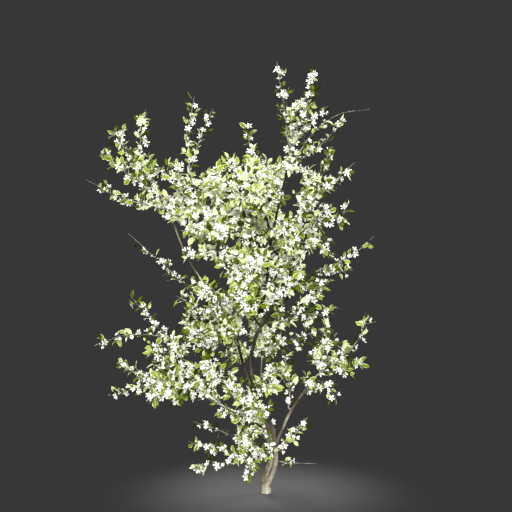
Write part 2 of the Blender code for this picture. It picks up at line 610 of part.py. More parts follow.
def make_material(name, colour, roughness):
    material = bpy.data.materials.new(name)
    material.use_nodes = True
    shader = material.node_tree.nodes["Principled BSDF"]
    shader.inputs["Base Color"].default_value = colour
    shader.inputs["Roughness"].default_value = roughness
    material.diffuse_color = colour
    return material


def settle(thing, root, parent, material):
    """Puts an object's origin at its root and hangs it on the tree's empty."""
    thing.data.transform(Matrix.Translation(-root))
    thing.location = root
    thing.parent = parent
    thing.data.materials.clear()
    thing.data.materials.append(material)


# ---------------------------------------------------------------- building


def build_limbs(limbs, collection, cutters, parent, material):
    rows = {row.name: row for row in STEMS + BOUGHS}
    stems = {"trunk"} | {row.name for row in STEMS}
    for name, line in limbs.items():
        sides = STEM_SIDES if name in stems else BOUGH_SIDES
        limb = add_object(name, tube(line, sides), collection)
        if name in rows:
            above = limbs[rows[name].parent]
            above_sides = STEM_SIDES if above.name in stems else BOUGH_SIDES
            cutter = add_object(f"{name}_cutter", tube(above, above_sides, swell=GAP), cutters)
            add_boolean(limb, "DIFFERENCE", cutter=cutter)
            apply_modifiers(limb)
            bpy.data.objects.remove(cutter)
        keep_largest(limb.data)
        limb.data.shade_smooth()
        limb.data.set_sharp_from_angle(angle=math.radians(50))
        settle(limb, line.points[0].copy(), parent, material)


def dress_mass(leads, space, leaf, blossom):
    """The twigs, leaves and blossoms of one mass that keep to its space, as lines and matrices."""
    twigs, leaves, blossoms, middles = [], [], [], []

    def dress(mesh, places, kept):
        for place in places:
            middle = place @ (Vector((0, 0, LEAF_LENGTH / 2)) if mesh is leaf else Vector())
            if any((middle - other).length < APART for other in middles):
                continue
            if space.holds(lead.mass, samples(mesh, place)):
                kept.append(place)
                middles.append(middle)

    for lead in leads:
        chance = random.Random(f"{lead.name} dress")
        bare = BARE_TIPS.get(lead.mass, 0) if lead.name.endswith("_0") else 0
        if not bare:
            dress(leaf, leaf_places(lead, (TIP_LEAF,), chance), leaves)
        for number, twig in enumerate(grow_twigs(lead)):
            if space.holds(lead.mass, twig.points[1:]):
                stations = TWIG_LEAVES if number % 2 else TWIG_LEAVES[:1]
                leaves_before = len(leaves)
                dress(leaf, leaf_places(twig, stations, chance), leaves)
                if len(leaves) > leaves_before:
                    twigs.append(twig)
        dress(blossom, blossom_places(lead, LEAD_BLOSSOMS, chance), blossoms)
    return twigs, leaves, blossoms


def simplify_joints(mass, kept):
    """Thins a mass's faces, but takes no corner that stands at one of the kept places."""
    tree = KDTree(len(kept))
    for number, place in enumerate(kept):
        tree.insert(place, number)
    tree.balance()
    spare = mass.vertex_groups.new(name="spare")
    spare.add([v.index for v in mass.data.vertices if tree.find(v.co)[2] > KEPT_WITHIN], 1, "REPLACE")
    simplify = mass.modifiers.new("Simplify", "DECIMATE")
    simplify.ratio = SIMPLIFY
    simplify.vertex_group = spare.name
    apply_modifiers(mass)
    mass.vertex_groups.clear()


def build_mass(name, leads, space, shapes, collection, parent, material):
    """One solid of a mass's shoots, twigs, leaves and blossoms, whose joints are then simplified."""
    leaf, blossom, section = shapes
    twigs, leaves, blossoms = dress_mass(leads, space, leaf, blossom)
    pieces = bpy.data.collections.new(f"{name}_pieces")
    bpy.context.scene.collection.children.link(pieces)
    mass = add_object(name, tube(leads[0], section=section), collection)
    for line in leads[1:] + twigs:
        add_object(line.name, tube(line, section=section), pieces)
    shoots = [mass] + list(pieces.objects)[: len(leads) - 1]
    kept = [v.co.copy() for shoot in shoots for v in shoot.data.vertices]
    for mesh, places in ((leaf, leaves), (blossom, blossoms)):
        for place in places:
            piece = add_object(f"{name}_{mesh.name}", mesh, pieces)
            piece.matrix_world = place
            kept += [place @ v.co for v in mesh.vertices if v.co.z >= 0]
    add_boolean(mass, "UNION", collection=pieces)
    apply_modifiers(mass)
    for piece in list(pieces.objects):
        bpy.data.objects.remove(piece)
    bpy.data.collections.remove(pieces)
    keep_largest(mass.data)
    simplify_joints(mass, kept)
    settle(mass, leads[0].points[0].copy(), parent, material)


def main():
    for thing in list(bpy.data.objects):
        bpy.data.objects.remove(thing)
    tree = bpy.data.collections.new("cherry_tree")
    cutters = bpy.data.collections.new("cutters")
    bpy.context.scene.collection.children.link(tree)
    bpy.context.scene.collection.children.link(cutters)
    root = bpy.data.objects.new("cherry_tree", None)
    tree.objects.link(root)

    limbs = grow_limbs()
    masses = grow_shoots(limbs)
    space = Space(limbs, masses)
    build_limbs(limbs, tree, cutters, root, make_material(*BARK))
    shapes = (make_leaf(), make_blossom(), triangle_profile())
    foliage = make_material(*BLOSSOM_AND_LEAF)
    for name, leads in masses.items():
        build_mass(name, leads, space, shapes, tree, root, foliage)
    bpy.data.objects.remove(shapes[2])


main()
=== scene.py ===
"""The looks of the young cherry tree: barked limbs, and twigs, leaves and white blossom that grow on from them.

The skeleton (stems, boughs, leading shoots, twigs) is grown by the rules of the part's source, written again here,
so everything lies on its solids. It is then carried on to finer twigs, flowers and leaves within the same reach.
Lengths are in metres, apart from the skeleton's rows, +Z is up and -Y is the side the tree is seen from.
"""

import math
import random
from collections import namedtuple

import bmesh
import bpy
import numpy as np
from mathutils import Matrix, Vector, noise


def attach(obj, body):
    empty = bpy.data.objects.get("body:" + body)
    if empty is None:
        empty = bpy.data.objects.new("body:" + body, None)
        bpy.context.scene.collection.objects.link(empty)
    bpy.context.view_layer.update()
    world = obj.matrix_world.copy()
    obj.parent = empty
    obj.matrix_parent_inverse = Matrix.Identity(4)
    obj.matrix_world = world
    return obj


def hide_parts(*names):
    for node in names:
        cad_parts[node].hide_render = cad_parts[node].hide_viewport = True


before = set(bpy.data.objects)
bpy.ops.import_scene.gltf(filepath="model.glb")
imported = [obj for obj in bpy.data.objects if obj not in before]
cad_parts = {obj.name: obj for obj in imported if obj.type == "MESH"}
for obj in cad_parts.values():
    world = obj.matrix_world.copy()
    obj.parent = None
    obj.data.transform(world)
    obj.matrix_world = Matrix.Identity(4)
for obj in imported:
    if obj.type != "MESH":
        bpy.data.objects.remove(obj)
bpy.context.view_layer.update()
noise.seed_set(1)  # noise_vector() takes its offsets from this, and from the clock if it is never set

# ---- sizes of the skeleton, as in the source

GAP = 0.0003
FOOT_RADIUS = 0.0255
PATH_STEPS = 3
BOUGH_RINGS, LEAD_RINGS = 7, 4
LEAD_RADIUS, LEAD_END_RADIUS = 0.0036, 0.0012
LEAD_SHARE, SIDE_SHARE = 0.9, 0.85  # most of its parent's radius that a first and a later shoot may have
LEAD_START = 0.012  # how far a first shoot runs straight off its limb
GOLDEN = math.radians(137.5)
TWIG_FORK = math.radians(52)
TWIG_LIFT = 0.22

# The rows of the skeleton are in millimetres. The stems that rise from the foot: the parent, the share of its
# length where each springs, radii at the two ends, and waypoints up to the fork or tip.
TRUNK_PATH = (
    (0, 0, 0), (0, 0, 18), (0, 0, 36), (18, 0, 66), (36, 0, 100), (49, 0, 175), (36, 0, 305), (-16, 0, 425),
    (-66, 0, 545), (-74, 0, 690),
)
TRUNK_RADII = (11.5, 9.5)  # above the flare
STEMS = {
    "stem_right": ("trunk", 0.05, (8.5, 5.5), (
        (-14, -16, 74), (16, -32, 165), (64, -38, 288), (128, -48, 427), (240, -60, 585))),
    "stem_left": ("trunk", 0.05, (8.5, 7), (
        (1, 18, 74), (26, 26, 144), (30, 30, 235), (-6, 36, 360), (-52, 40, 457), (-104, 40, 600),
        (-150, 30, 780))),
    "leader": ("trunk", 1.0, (8.8, 4.5), (
        (-50, 0, 785), (-15, 0, 865), (4, 15, 1040), (26, 30, 1265), (96, 30, 1570), (116, 30, 1680))),
    "bough_long": ("stem_left", 1.0, (6, 3.2), (
        (-206, 30, 900), (-282, 30, 1000), (-404, 50, 1190), (-487, 70, 1400))),
}
FLARE_HEIGHT = 0.075

# A bough is one arc: its parent, share and radii as above, its tip, and how far its middle bows.
BOUGHS = {
    "bough_low_left": ("trunk", 0.54, (5.5, 3.4), (-350, 20, 510), (0, -10, -25)),
    "bough_mid_left": ("stem_left", 0.75, (5.2, 3.4), (-390, 50, 700), (0, 0, 18)),
    "bough_back_low": ("stem_left", 0.52, (5, 3.4), (-20, 300, 620), (0, 30, -20)),
    "bough_right": ("leader", 0.18, (5.5, 3.4), (247, -50, 1106), (0, -20, 0)),
    "bough_front_mid": ("leader", 0.15, (5, 3.4), (-100, -270, 1000), (0, -30, -20)),
    "bough_back_mid": ("leader", 0.30, (5, 3.4), (80, 300, 1140), (0, 30, -20)),
    "bough_upper_left": ("leader", 0.43, (5.8, 3.4), (-400, -50, 1440), (0, -30, 45)),
    "bough_upper_right": ("leader", 0.51, (4.8, 3.4), (210, 100, 1330), (0, 0, -15)),
    "bough_front_high": ("leader", 0.56, (4.8, 3.4), (0, -220, 1400), (0, -30, -20)),
    "bough_back_high": ("leader", 0.62, (4.8, 3.4), (-30, 270, 1500), (0, 30, -20)),
}

# The leading shoots of every mass, after the limb that the first of them springs from. The others spring from that
# first shoot. A row has the share of the parent's length, the tip, the bow, as x, y, z or its rise alone, and the
# reach and count of twigs.
SHOOTS = {
    # the top
    "spire": ("leader", ((1.0, (55, 0, 2155), (5, 0, 0), 60, 4), (0.12, (235, -30, 2110), (20, -10, 0), 80, 4),
        (0.08, (310, 30, 1940), (0, 10, 10), 60, 3), (0.05, (160, 80, 1980), (0, 10, 0), 80, 3),
        (0.02, (130, -120, 1600), 20, 80, 3))),
    "arm_top_right": ("leader", ((0.93, (520, 20, 1925), (-40, 10, 80), 50, 4),
        (0.12, (390, -80, 1860), -20, 45, 3))),
    "crest": ("leader", ((0.72, (-92, -50, 1850), (-30, -20, 0), 40, 3), (0.16, (-170, -140, 1620), 20, 120, 3),
        (0.45, (-30, 20, 1670), 30, 55, 3))),
    "heart_high": ("leader", ((0.84, (-50, 150, 1620), 30, 120, 3),)),
    # the upper left
    "far_left": ("bough_upper_left", ((1.0, (-885, -50, 1560), -50, 55, 4),
        (0.10, (-800, -120, 1700), -30, 55, 4))),
    "far_left_high": ("bough_long", ((1.0, (-610, 80, 1935), (-80, 0, 0), 60, 4),
        (0.35, (-760, 40, 1820), (-20, 0, 0), 70, 4), (0.25, (-660, 60, 1660), 0, 70, 3))),
    "band_upper": ("bough_upper_left", ((0.72, (-550, -220, 1600), 50, 100, 4),
        (0.22, (-480, -220, 1360), 0, 110, 3))),
    "twins": ("bough_upper_left", ((0.86, (-356, 0, 1985), (-50, 20, 0), 40, 3),
        (0.35, (-269, 40, 1930), (-10, 0, 0), 40, 3), (0.08, (-500, 120, 1460), 20, 110, 4))),
    "crown_front_left": ("bough_upper_left", ((0.45, (-280, -440, 1570), 20, 110, 4),
        (0.12, (-360, -270, 1330), 0, 130, 3), (0.25, (-210, -460, 1280), 0, 120, 3))),
    "crown_back_left": ("bough_back_high", ((0.65, (-330, 420, 1600), 20, 130, 3),
        (0.25, (-350, 220, 1280), 0, 130, 3), (0.35, (-200, 460, 1360), 0, 120, 3))),
    # the upper middle and right
    "crown_front": ("bough_front_high", ((1.0, (-110, -540, 1560), (0, -30, -30), 120, 3),
        (0.10, (0, -500, 1420), 10, 120, 3), (0.30, (-170, -460, 1440), 10, 120, 3))),
    "crown_front_right": ("bough_front_high", ((0.6, (120, -420, 1240), 20, 110, 3),)),
    "crown_back": ("bough_back_high", ((1.0, (-60, 580, 1640), -10, 130, 3),
        (0.10, (90, 400, 1640), 20, 100, 3), (0.20, (50, 550, 1420), 20, 120, 3))),
    "crown_back_right": ("leader", ((0.67, (290, 450, 1290), (0, 20, 20), 100, 3),)),
    "right_high": ("leader", ((0.60, (440, -50, 1650), 0, 55, 4), (0.35, (220, -80, 1600), 0, 90, 3),
        (0.30, (330, 50, 1560), 0, 70, 3), (0.45, (320, 0, 1730), (10, 0, 0), 45, 3))),
    "right_shoulder": ("bough_upper_right", ((1.0, (420, 100, 1420), -30, 70, 4),
        (0.15, (300, 0, 1450), 0, 70, 3))),
    "right_rear": ("bough_upper_right", ((0.55, (350, 240, 1190), 30, 90, 4),
        (0.15, (170, 210, 1160), 0, 110, 3))),
    "heart_left": ("leader", ((0.36, (-270, -120, 1220), 20, 130, 3), (0.22, (-100, -200, 1330), 20, 130, 3),
        (0.10, (140, -140, 1200), 20, 85, 3), (0.50, (-410, -80, 1210), 10, 70, 3))),
    # the middle
    "right_reach": ("bough_right", ((1.0, (540, -50, 1290), -30, 35, 4), (0.10, (410, -160, 1130), -20, 35, 3))),
    "right_arc": ("leader", ((0.10, (330, 60, 1070), (0, 10, -20), 90, 4), (0.35, (320, 30, 880), 20, 70, 3))),
    "mid_front": ("bough_front_mid", ((1.0, (-160, -560, 1200), (0, -30, -20), 120, 3),
        (0.08, (-20, -380, 1240), 0, 120, 3), (0.12, (-100, -560, 950), 0, 120, 3))),
    "mid_front_right": ("bough_front_mid", ((0.6, (140, -460, 1080), 10, 110, 4),)),
    "mid_back": ("bough_back_mid", ((1.0, (100, 600, 1260), 10, 130, 3), (0.08, (-70, 400, 1380), 0, 120, 3),
        (0.15, (60, 540, 1040), 0, 120, 3))),
    "mid_back_left": ("bough_back_mid", ((0.5, (-200, 520, 1180), 10, 130, 3),
        (0.20, (-140, 500, 970), 10, 120, 3))),
    "mid_back_right": ("bough_back_mid", ((0.75, (260, 470, 1000), 20, 110, 4),)),
    "left_thin": ("bough_long", ((0.25, (-690, 0, 1300), -10, 40, 4),)),
    "left_centre": ("stem_left", ((0.95, (-250, -380, 1040), 10, 100, 3), (0.30, (-360, -120, 1080), 20, 90, 3),
        (0.35, (-440, -100, 990), 0, 60, 3), (0.12, (-130, -200, 1030), 20, 110, 3),
        (0.20, (-260, -380, 830), 0, 75, 3))),
    "left_mid": ("bough_mid_left", ((1.0, (-680, 0, 990), -20, 55, 4), (0.30, (-850, -50, 740), 35, 45, 4),
        (0.06, (-460, -160, 710), 0, 100, 3))),
    "left_mid_back": ("bough_mid_left", ((0.6, (-440, 450, 820), 20, 130, 4),
        (0.10, (-250, 140, 940), 20, 120, 3))),
    # the lower crown
    "left_low": ("bough_low_left", ((1.0, (-800, 50, 480), 30, 75, 4),
        (0.20, (-730, -100, 660), (-20, 0, 0), 70, 4), (0.10, (-570, 100, 700), 0, 100, 4))),
    "left_low_front": ("bough_low_left", ((0.8, (-510, -350, 620), 20, 110, 4),
        (0.15, (-550, -250, 530), 0, 95, 4))),
    "left_low_back": ("bough_low_left", ((0.62, (-500, 400, 560), 20, 120, 4),)),
    "trunk_front_left": ("trunk", ((0.56, (-120, -270, 560), (0, -20, 0), 100, 4),
        (0.18, (-320, -140, 670), 0, 120, 4), (0.10, (-240, -130, 430), -10, 60, 3))),
    "trunk_front_right": ("trunk", ((0.78, (50, -380, 590), (0, -20, 0), 65, 4),)),
    "low_back": ("bough_back_low", ((1.0, (-50, 560, 880), 0, 120, 3), (0.08, (-200, 360, 630), 20, 110, 3),
        (0.15, (30, 500, 700), 0, 110, 3))),
    "low_back_right": ("bough_back_low", ((0.7, (130, 480, 540), 20, 80, 4),)),
    "right_inner": ("leader", ((0.03, (250, 120, 800), -10, 80, 4),)),
    "right_low": ("stem_right", ((1.0, (500, -100, 900), (40, 0, -20), 45, 4),
        (0.12, (460, 20, 635), -10, 75, 4), (0.08, (310, -80, 820), (-20, 0, 0), 90, 4),
        (0.05, (390, -20, 720), 0, 90, 3))),
    "right_low_hang": ("stem_right", ((0.86, (340, -140, 500), 50, 60, 4), (0.10, (200, -160, 590), 10, 55, 3))),
    "right_low_inner": ("stem_right", ((0.68, (75, -30, 720), (20, 0, 0), 60, 3),)),
    # low down, round the foot
    "foot_left": ("trunk", ((0.27, (-380, -100, 280), (0, -40, -10), 50, 4),
        (0.12, (-360, -40, 365), 20, 35, 2), (0.25, (-360, -220, 185), -10, 45, 3),
        (0.30, (-80, -270, 140), 0, 40, 2), (0.08, (10, -210, 260), 10, 90, 3),
        (0.15, (-150, -150, 370), 10, 90, 3), (0.20, (-100, -120, 190), 10, 80, 3))),
    "foot_right": ("stem_right", ((0.33, (200, -120, 400), (0, -20, -10), 45, 4),)),
    "foot_right_bare": ("trunk", ((0.235, (250, -30, 155), -5, 30, 2),)),
    "foot_back": ("stem_left", ((0.32, (-60, 420, 310), 10, 100, 4),)),
}

# Share of a mass's first shoot, from its tip, that bears nothing.
BARE_TIPS = {
    "spire": 0.04, "arm_top_right": 0.35, "foot_right_bare": 0.64, "left_thin": 0.12, "far_left": 0.12,
    "right_reach": 0.12, "left_low": 0.06,
}

Line = namedtuple("Line", "name mass points radii reach twigs")

# ---- sizes of the growth

# How twigs grow off a shoot and fine twigs off either: the part of the parent that they stand on, the places that
# each may take in its own share of it, the strays of turn and fork, the length as a share of the reach at the
# parent's root, its loss up to the tip and its spread, the greatest radius, and that as a share of the parent's.
Habit = namedtuple("Habit", "mark first span within turns forks length loss spread radius thinning")
TWIGS = Habit("", 0.16, 0.80, None, (-0.3, 0.3), (-0.2, 0.2), 0.95, 0.45, (0.85, 1.1), 0.0021, 0.8)
SPRIGS = Habit("s", 0.12, 0.80, (0.2, 0.8), (-0.4, 0.4), (-0.25, 0.3), 1.15, 0.70, (0.30, 0.66), 0.0012, 0.75)
SPRIGS_PER_METRE = 42
SPRIG_REACH = 0.75  # of fine twigs on twigs, as a share of that on shoots
TIP_RADIUS = 0.0006

CROOK = 0.0045  # how far a leading shoot wanders off its smooth line
CROOK_STEP, CROOK_WAVE = 0.022, 0.075
CROOK_SHIFT = 0.37  # sets the bends of one shoot apart from another's
CROOK_END_RADIUS, CROOK_TAPER = 0.0009, 0.8

AIRY_REACH, FULL_REACH = 0.02, 0.13  # shoots of this reach bear hardly anything, and as much as there is
LEAST_FULL = 0.30
LUSH = {  # masses set more or less closely than their reach tells
    "far_left": 1.7, "far_left_high": 1.5, "left_low": 1.15, "crown_back_left": 1.2, "right_high": 1.5,
    "right_low": 1.15, "right_shoulder": 1.2, "mid_front": 1.2, "right_rear": 0.75, "left_centre": 0.9,
    "trunk_front_left": 0.85, "crest": 1.1,
}
REACH_SLACK = 0.010
LIMB_CLEARANCE = 0.0015
GROUND_CLEARANCE = 0.02

SHOOT_DRESS, TWIG_DRESS = (0.06, 0.98), (0.20, 0.97)  # the part of a shoot and of a twig that bears buds
BARE_SPRIGS = 0.07  # share of the fine twigs that bear nothing
NODE_STEP = 0.0105  # from one bud to the next along a twig
BUD_WITHIN, BUD_TURNS = (0.2, 0.8), (-0.5, 0.5)
CLUSTER_CHANCE, LEAF_CHANCE = 0.71, 1.0  # of a bud that it opens as flowers, and that it bears a leaf
CLUSTER_SIZES = (1, 2, 2, 2, 3)
TUFT_CHANCE, TUFT_SIZES, TUFT_PLACE = 0.6, (1, 2, 2), 0.985  # young leaves at a twig's tip
FLOWER_APART, LEAF_APART = 0.0172, 0.0108
CROWN_MIDDLE, CROWN_CORE = -0.08, 0.25  # the crown's axis across, and how far out its sides fully face away
OUTWARD = 0.45  # how much flowers and leaves turn away from that axis

STALK, LEAF_STALK = (0.006, 0.019), (0.005, 0.010)
STALK_RADIUS = 0.0005
STALK_TURNS, STALK_LEAN = (-0.8, 0.8), (-0.2, 0.8)
FLOWER_SIZE, FLOWER_STRAY = (0.80, 1.08), 0.38
FLOWER_HEIGHT, FLOWER_REACH, FLOWER_CORE = 0.006, 0.012, 0.004
# Each kind of flower: its share; how far its petals open, cup and lift at their sides; how far its stamens spread
# and reach. A bud has neither.
FLOWERS = {
    "open": (6, (1.32, 0.30, 0.10), (0.75, 0.0085)),
    "wide": (5, (1.50, 0.16, 0.06), (0.9, 0.0085)),
    "cupped": (2.2, (0.95, 0.42, 0.16), (0.5, 0.0095)),
    "bud": (0.8, None, None),
}

LEAF_LENGTH = (0.022, 0.048)
LEAF_TURNS = (1.5, 4.7)  # from the flowers of the same bud
LEAF_FORKS, TUFT_FORKS = (0.6, 1.25), (0.15, 0.6)
LEAF_DROOP = (-0.15, 0.35)
LEAF_FACE_UP, LEAF_STRAY = 0.5, 0.5
LEAF_FORMS = {"flat": (0.18, 0.12, 0.2), "folded": (0.5, 0.2, -0.2), "curled": (0.3, 0.4, 0.5)}  # fold, curl, twist

# The darkest tint is painted shade: leaves coloured as if they lay in the crown's shadow.
LEAF_TINTS = {
    "lime": ((0.22, 0.30, 0.016), (0.31, 0.39, 0.050)),
    "pale": ((0.42, 0.47, 0.16), (0.58, 0.61, 0.30)),
    "fresh": ((0.12, 0.185, 0.003), (0.19, 0.27, 0.008)),
    "green": ((0.036, 0.058, 0.0010), (0.11, 0.155, 0.003)),
    "cream": ((0.58, 0.62, 0.33), (0.72, 0.75, 0.47)),
    "dark": ((0.010, 0.014, 0.0001), (0.028, 0.036, 0.0005)),
}
RIMLESS = ("green", "dark")
TINT_SHARES = {"lime": 3, "pale": 2, "cream": 1.8, "fresh": 4, "green": 4.2, "dark": 2.8}
SAME_TINT = 0.7  # chance that a leaf has the tint of its spray
PALE_TINTS = ("lime", "pale", "cream")
PALE_SHARE, DEEP_SHARE = (0.72, 1.1), (1.1, -0.5)  # of such a tint and of a deep one: where no light is painted, and what the painted light adds to it
PAINTED_LIGHT_HEART, PAINTED_LIGHT_REACH = (-0.16, 1.50), 0.42  # middle of the crown's upper part where light is painted on the leaves, across and up
BRIGHT_CLUSTERS, BRIGHT_MEAN = 0.20, 0.3  # how many more buds open there, counted from the strength of the painted light

# The masses are joined by height, which keeps every piece under 200,000 triangles.
TIERS = (("low", 0.72), ("middle", 1.30), ("high", 9.0))

# ---- paths


def smooth(path, steps):
    """A Catmull-Rom curve through the waypoints of path."""
    way = [Vector(p) for p in path]
    way = [2 * way[0] - way[1]] + way + [2 * way[-1] - way[-2]]
    points = [way[1]]
    for a, b, c, d in zip(way, way[1:], way[2:], way[3:]):
        for k in range(1, steps + 1):
            t = k / steps
            bend = (2 * a - 5 * b + 4 * c - d) * t * t + (3 * b - a - 3 * c + d) * t**3
            points.append(b + 0.5 * ((c - a) * t + bend))
    return points


def arc(root, tip, bow, count):
    """count points of a parabola from root to tip whose middle stands bow off the straight line."""
    shares = [k / (count - 1) for k in range(count)]
    return [root.lerp(tip, t) + 4 * t * (1 - t) * Vector(bow) for t in shares]


def lengths(points):
    """Length from the first point up to each."""
    along = [0.0]
    for a, b in zip(points, points[1:]):
        along.append(along[-1] + (b - a).length)
    return along


def station(line, share):
    """Place, direction and radius at a share of a line's length."""
    along = lengths(line.points)
    want = share * along[-1]
    k = max(i for i in range(len(along) - 1) if along[i] <= want + 1e-9)
    t = (want - along[k]) / (along[k + 1] - along[k])
    place = line.points[k].lerp(line.points[k + 1], t)
    heading = (line.points[k + 1] - line.points[k]).normalized()
    return place, heading, line.radii[k] + t * (line.radii[k + 1] - line.radii[k])


def taper(points, root_radius, tip_radius):
    along = lengths(points)
    return [root_radius + (tip_radius - root_radius) * a / along[-1] for a in along]


def sideways(heading, turn):
    """A unit vector square to heading, turned round it from the highest such direction."""
    flat = Vector((0, 0, 1)) if abs(heading.z) < 0.95 else Vector((0, -1, 0))
    up = (flat - flat.dot(heading) * heading).normalized()
    return up * math.cos(turn) + heading.cross(up) * math.sin(turn)


def flowing(line, step):
    """A line as a smooth curve with a point about every step, and its radii: two arrays."""
    curve = np.array(smooth(line.points, 8))
    radii = np.interp(np.arange(len(curve)) / 8, np.arange(len(line.radii)), line.radii)
    along = np.concatenate([[0], np.cumsum(np.linalg.norm(np.diff(curve, axis=0), axis=1))])
    wanted = np.linspace(0, along[-1], max(4, round(along[-1] / step) + 1))
    points = np.stack([np.interp(wanted, along, curve[:, k]) for k in range(3)], axis=1)
    return points, np.interp(wanted, along, radii)


# ---- the skeleton, by the source's rules


def metres(sizes):
    """Millimetres as metres, for one size or nested tuples of them."""
    return tuple(metres(size) for size in sizes) if isinstance(sizes, tuple) else sizes / 1000


def flare(points, radii):
    """Swells the lowest part of the trunk into its foot."""
    swollen = []
    for point, radius in zip(points, radii):
        rise = min(point.z / FLARE_HEIGHT, 1)
        swollen.append(radius + (FOOT_RADIUS - radius) * (1 - rise**2.2))
    return swollen


def grow_limbs():
    path = smooth(metres(TRUNK_PATH), PATH_STEPS)
    limbs = {"trunk": Line("trunk", None, path, flare(path, taper(path, *metres(TRUNK_RADII))), 0, 0)}
    for name, (parent, share, radii, way) in STEMS.items():
        root, heading, _ = station(limbs[parent], share)
        if share == 1:
            root = root + GAP * heading
        path = smooth((root,) + metres(way), PATH_STEPS)
        limbs[name] = Line(name, None, path, taper(path, *metres(radii)), 0, 0)
    for name, (parent, share, radii, tip, bow) in BOUGHS.items():
        root, _, _ = station(limbs[parent], share)
        path = arc(root, Vector(metres(tip)), metres(bow), BOUGH_RINGS)
        limbs[name] = Line(name, None, path, taper(path, *metres(radii)), 0, 0)
    return limbs


def grow_shoots(limbs):
    """The leading shoots of each mass; the first springs from a limb and the rest from that first one."""
    masses = {}
    for mass, (limb, rows) in SHOOTS.items():
        own = masses[mass] = []
        for share, tip, bow, reach, twigs in rows:
            tip = Vector(metres(tip))
            bow = metres(bow if isinstance(bow, tuple) else (0, 0, bow))
            place, heading, thickness = station(own[0] if own else limbs[limb], share)
            if own:
                path = arc(place, tip, bow, LEAD_RINGS)
                root_radius = SIDE_SHARE * thickness
            else:
                skin = 0
                if share < 1:
                    aim = tip - place
                    heading = (aim - aim.dot(heading) * heading).normalized()
                    skin = thickness
                place = place + (skin + GAP) * heading
                path = [place] + arc(place + LEAD_START * heading, tip, bow, LEAD_RINGS)
                root_radius = min(LEAD_RADIUS, LEAD_SHARE * thickness)
            radii = taper(path, root_radius, LEAD_END_RADIUS)
            own.append(Line(f"{mass}_{len(own)}", mass, path, radii, metres(reach), twigs))
    return masses


def bare_share(lead):
    """Share of a leading shoot, from its tip, that bears nothing."""
    return BARE_TIPS.get(lead.mass, 0) if lead.name.endswith("_0") else 0


def grow_off(line, count, reach, habit, seed, space):
    """Twigs all round a line by a seeded rule: a golden turn apart, shorter towards its tip, and bent up at their
    own. Those that would leave the mass's space are left out."""
    chance = random.Random(seed)
    turn = chance.uniform(0, 2 * math.pi)
    twigs = []
    for k in range(count):
        within = chance.uniform(*habit.within) if habit.within else 0.5
        share = (habit.first + habit.span * (k + within) / count) * (1 - bare_share(line))
        place, heading, thickness = station(line, share)
        turn += GOLDEN + chance.uniform(*habit.turns)
        fork = TWIG_FORK + chance.uniform(*habit.forks)
        way = heading * math.cos(fork) + sideways(heading, turn) * math.sin(fork)
        length = reach * (habit.length - habit.loss * share) * chance.uniform(*habit.spread)
        rise = Vector((0, 0, TWIG_LIFT * length))
        path = [place, place + 0.5 * length * way + 0.25 * rise, place + length * way + rise]
        radii = taper(path, min(habit.radius, habit.thinning * thickness), TIP_RADIUS)
        if space.holds(line.mass, path[1:]):
            twigs.append(Line(f"{line.name}_{habit.mark}{k}", line.mass, path, radii, line.reach, 0))
    return twigs


# ---- finer growth


def fullness(line):
    """How closely a line is set with twigs, flowers and leaves: slender outer shoots are airy."""
    share = (line.reach - AIRY_REACH) / (FULL_REACH - AIRY_REACH)
    return LUSH.get(line.mass, 1) * min(1, max(LEAST_FULL, share))


def grow_sprigs(line, reach, space):
    """Fine twigs round a shoot or a twig."""
    count = round(lengths(line.points)[-1] * SPRIGS_PER_METRE * fullness(line))
    return grow_off(line, count, reach, SPRIGS, f"{line.name} sprigs", space)


def crooked(lead):
    """A leading shoot with the slight bends a twig makes from bud to bud."""
    points, radii = flowing(lead, CROOK_STEP)
    shift = Vector((sum(map(ord, lead.name)) * CROOK_SHIFT, 0, 0))
    total = len(points) - 1
    bent = []
    for k, point in enumerate(points):
        place = Vector(point)
        wander = noise.noise_vector(place / CROOK_WAVE + shift)
        bent.append(place + CROOK * min(1, k / 3) * min(1, (total - k) / 2 + 0.4) * wander)
    root = float(radii[0])
    radii = [root + (CROOK_END_RADIUS - root) * (k / total) ** CROOK_TAPER for k in range(total + 1)]
    return lead._replace(points=bent, radii=radii)


class Space:
    """Tells whether a piece stays in its own mass's space: within reach of that mass's shoots, nearer to them
    than to any other's, and clear of every limb."""

    def __init__(self, limbs, masses):
        self.numbers = {mass: number for number, mass in enumerate(masses)}
        leads = [lead for group in masses.values() for lead in group]
        self.heads, self.tails = segments(leads)
        self.owners = np.repeat([self.numbers[x.mass] for x in leads], [len(x.points) - 1 for x in leads])
        self.reaches = np.repeat([x.reach for x in leads], [len(x.points) - 1 for x in leads])
        self.limb_heads, self.limb_tails = segments(limbs.values())
        self.limb_radii = np.array([r for limb in limbs.values() for r in limb.radii[:-1]])

    def holds(self, mass, points):
        points = np.array(points)
        far = distances(points, self.heads, self.tails)
        mine = self.owners == self.numbers[mass]
        if np.any(far[:, mine].min(1) > far[:, ~mine].min(1)):
            return False
        if np.any((far[:, mine] - self.reaches[mine]).min(1) > REACH_SLACK):
            return False
        limb = distances(points, self.limb_heads, self.limb_tails) - self.limb_radii
        return limb.min() > LIMB_CLEARANCE and points[:, 2].min() > GROUND_CLEARANCE


def segments(lines):
    """First and last point of every straight piece of some lines."""
    lines = list(lines)
    heads = np.array([p for line in lines for p in line.points[:-1]])
    return heads, np.array([p for line in lines for p in line.points[1:]])


def distances(points, heads, tails):
    """Distance of every point to every straight piece from a head to its tail."""
    along = tails - heads
    away = points[:, None, :] - heads[None]
    share = np.clip((away * along).sum(2) / (along * along).sum(1), 0, 1)
    return np.linalg.norm(away - share[:, :, None] * along, axis=2)


# ---- what each twig bears


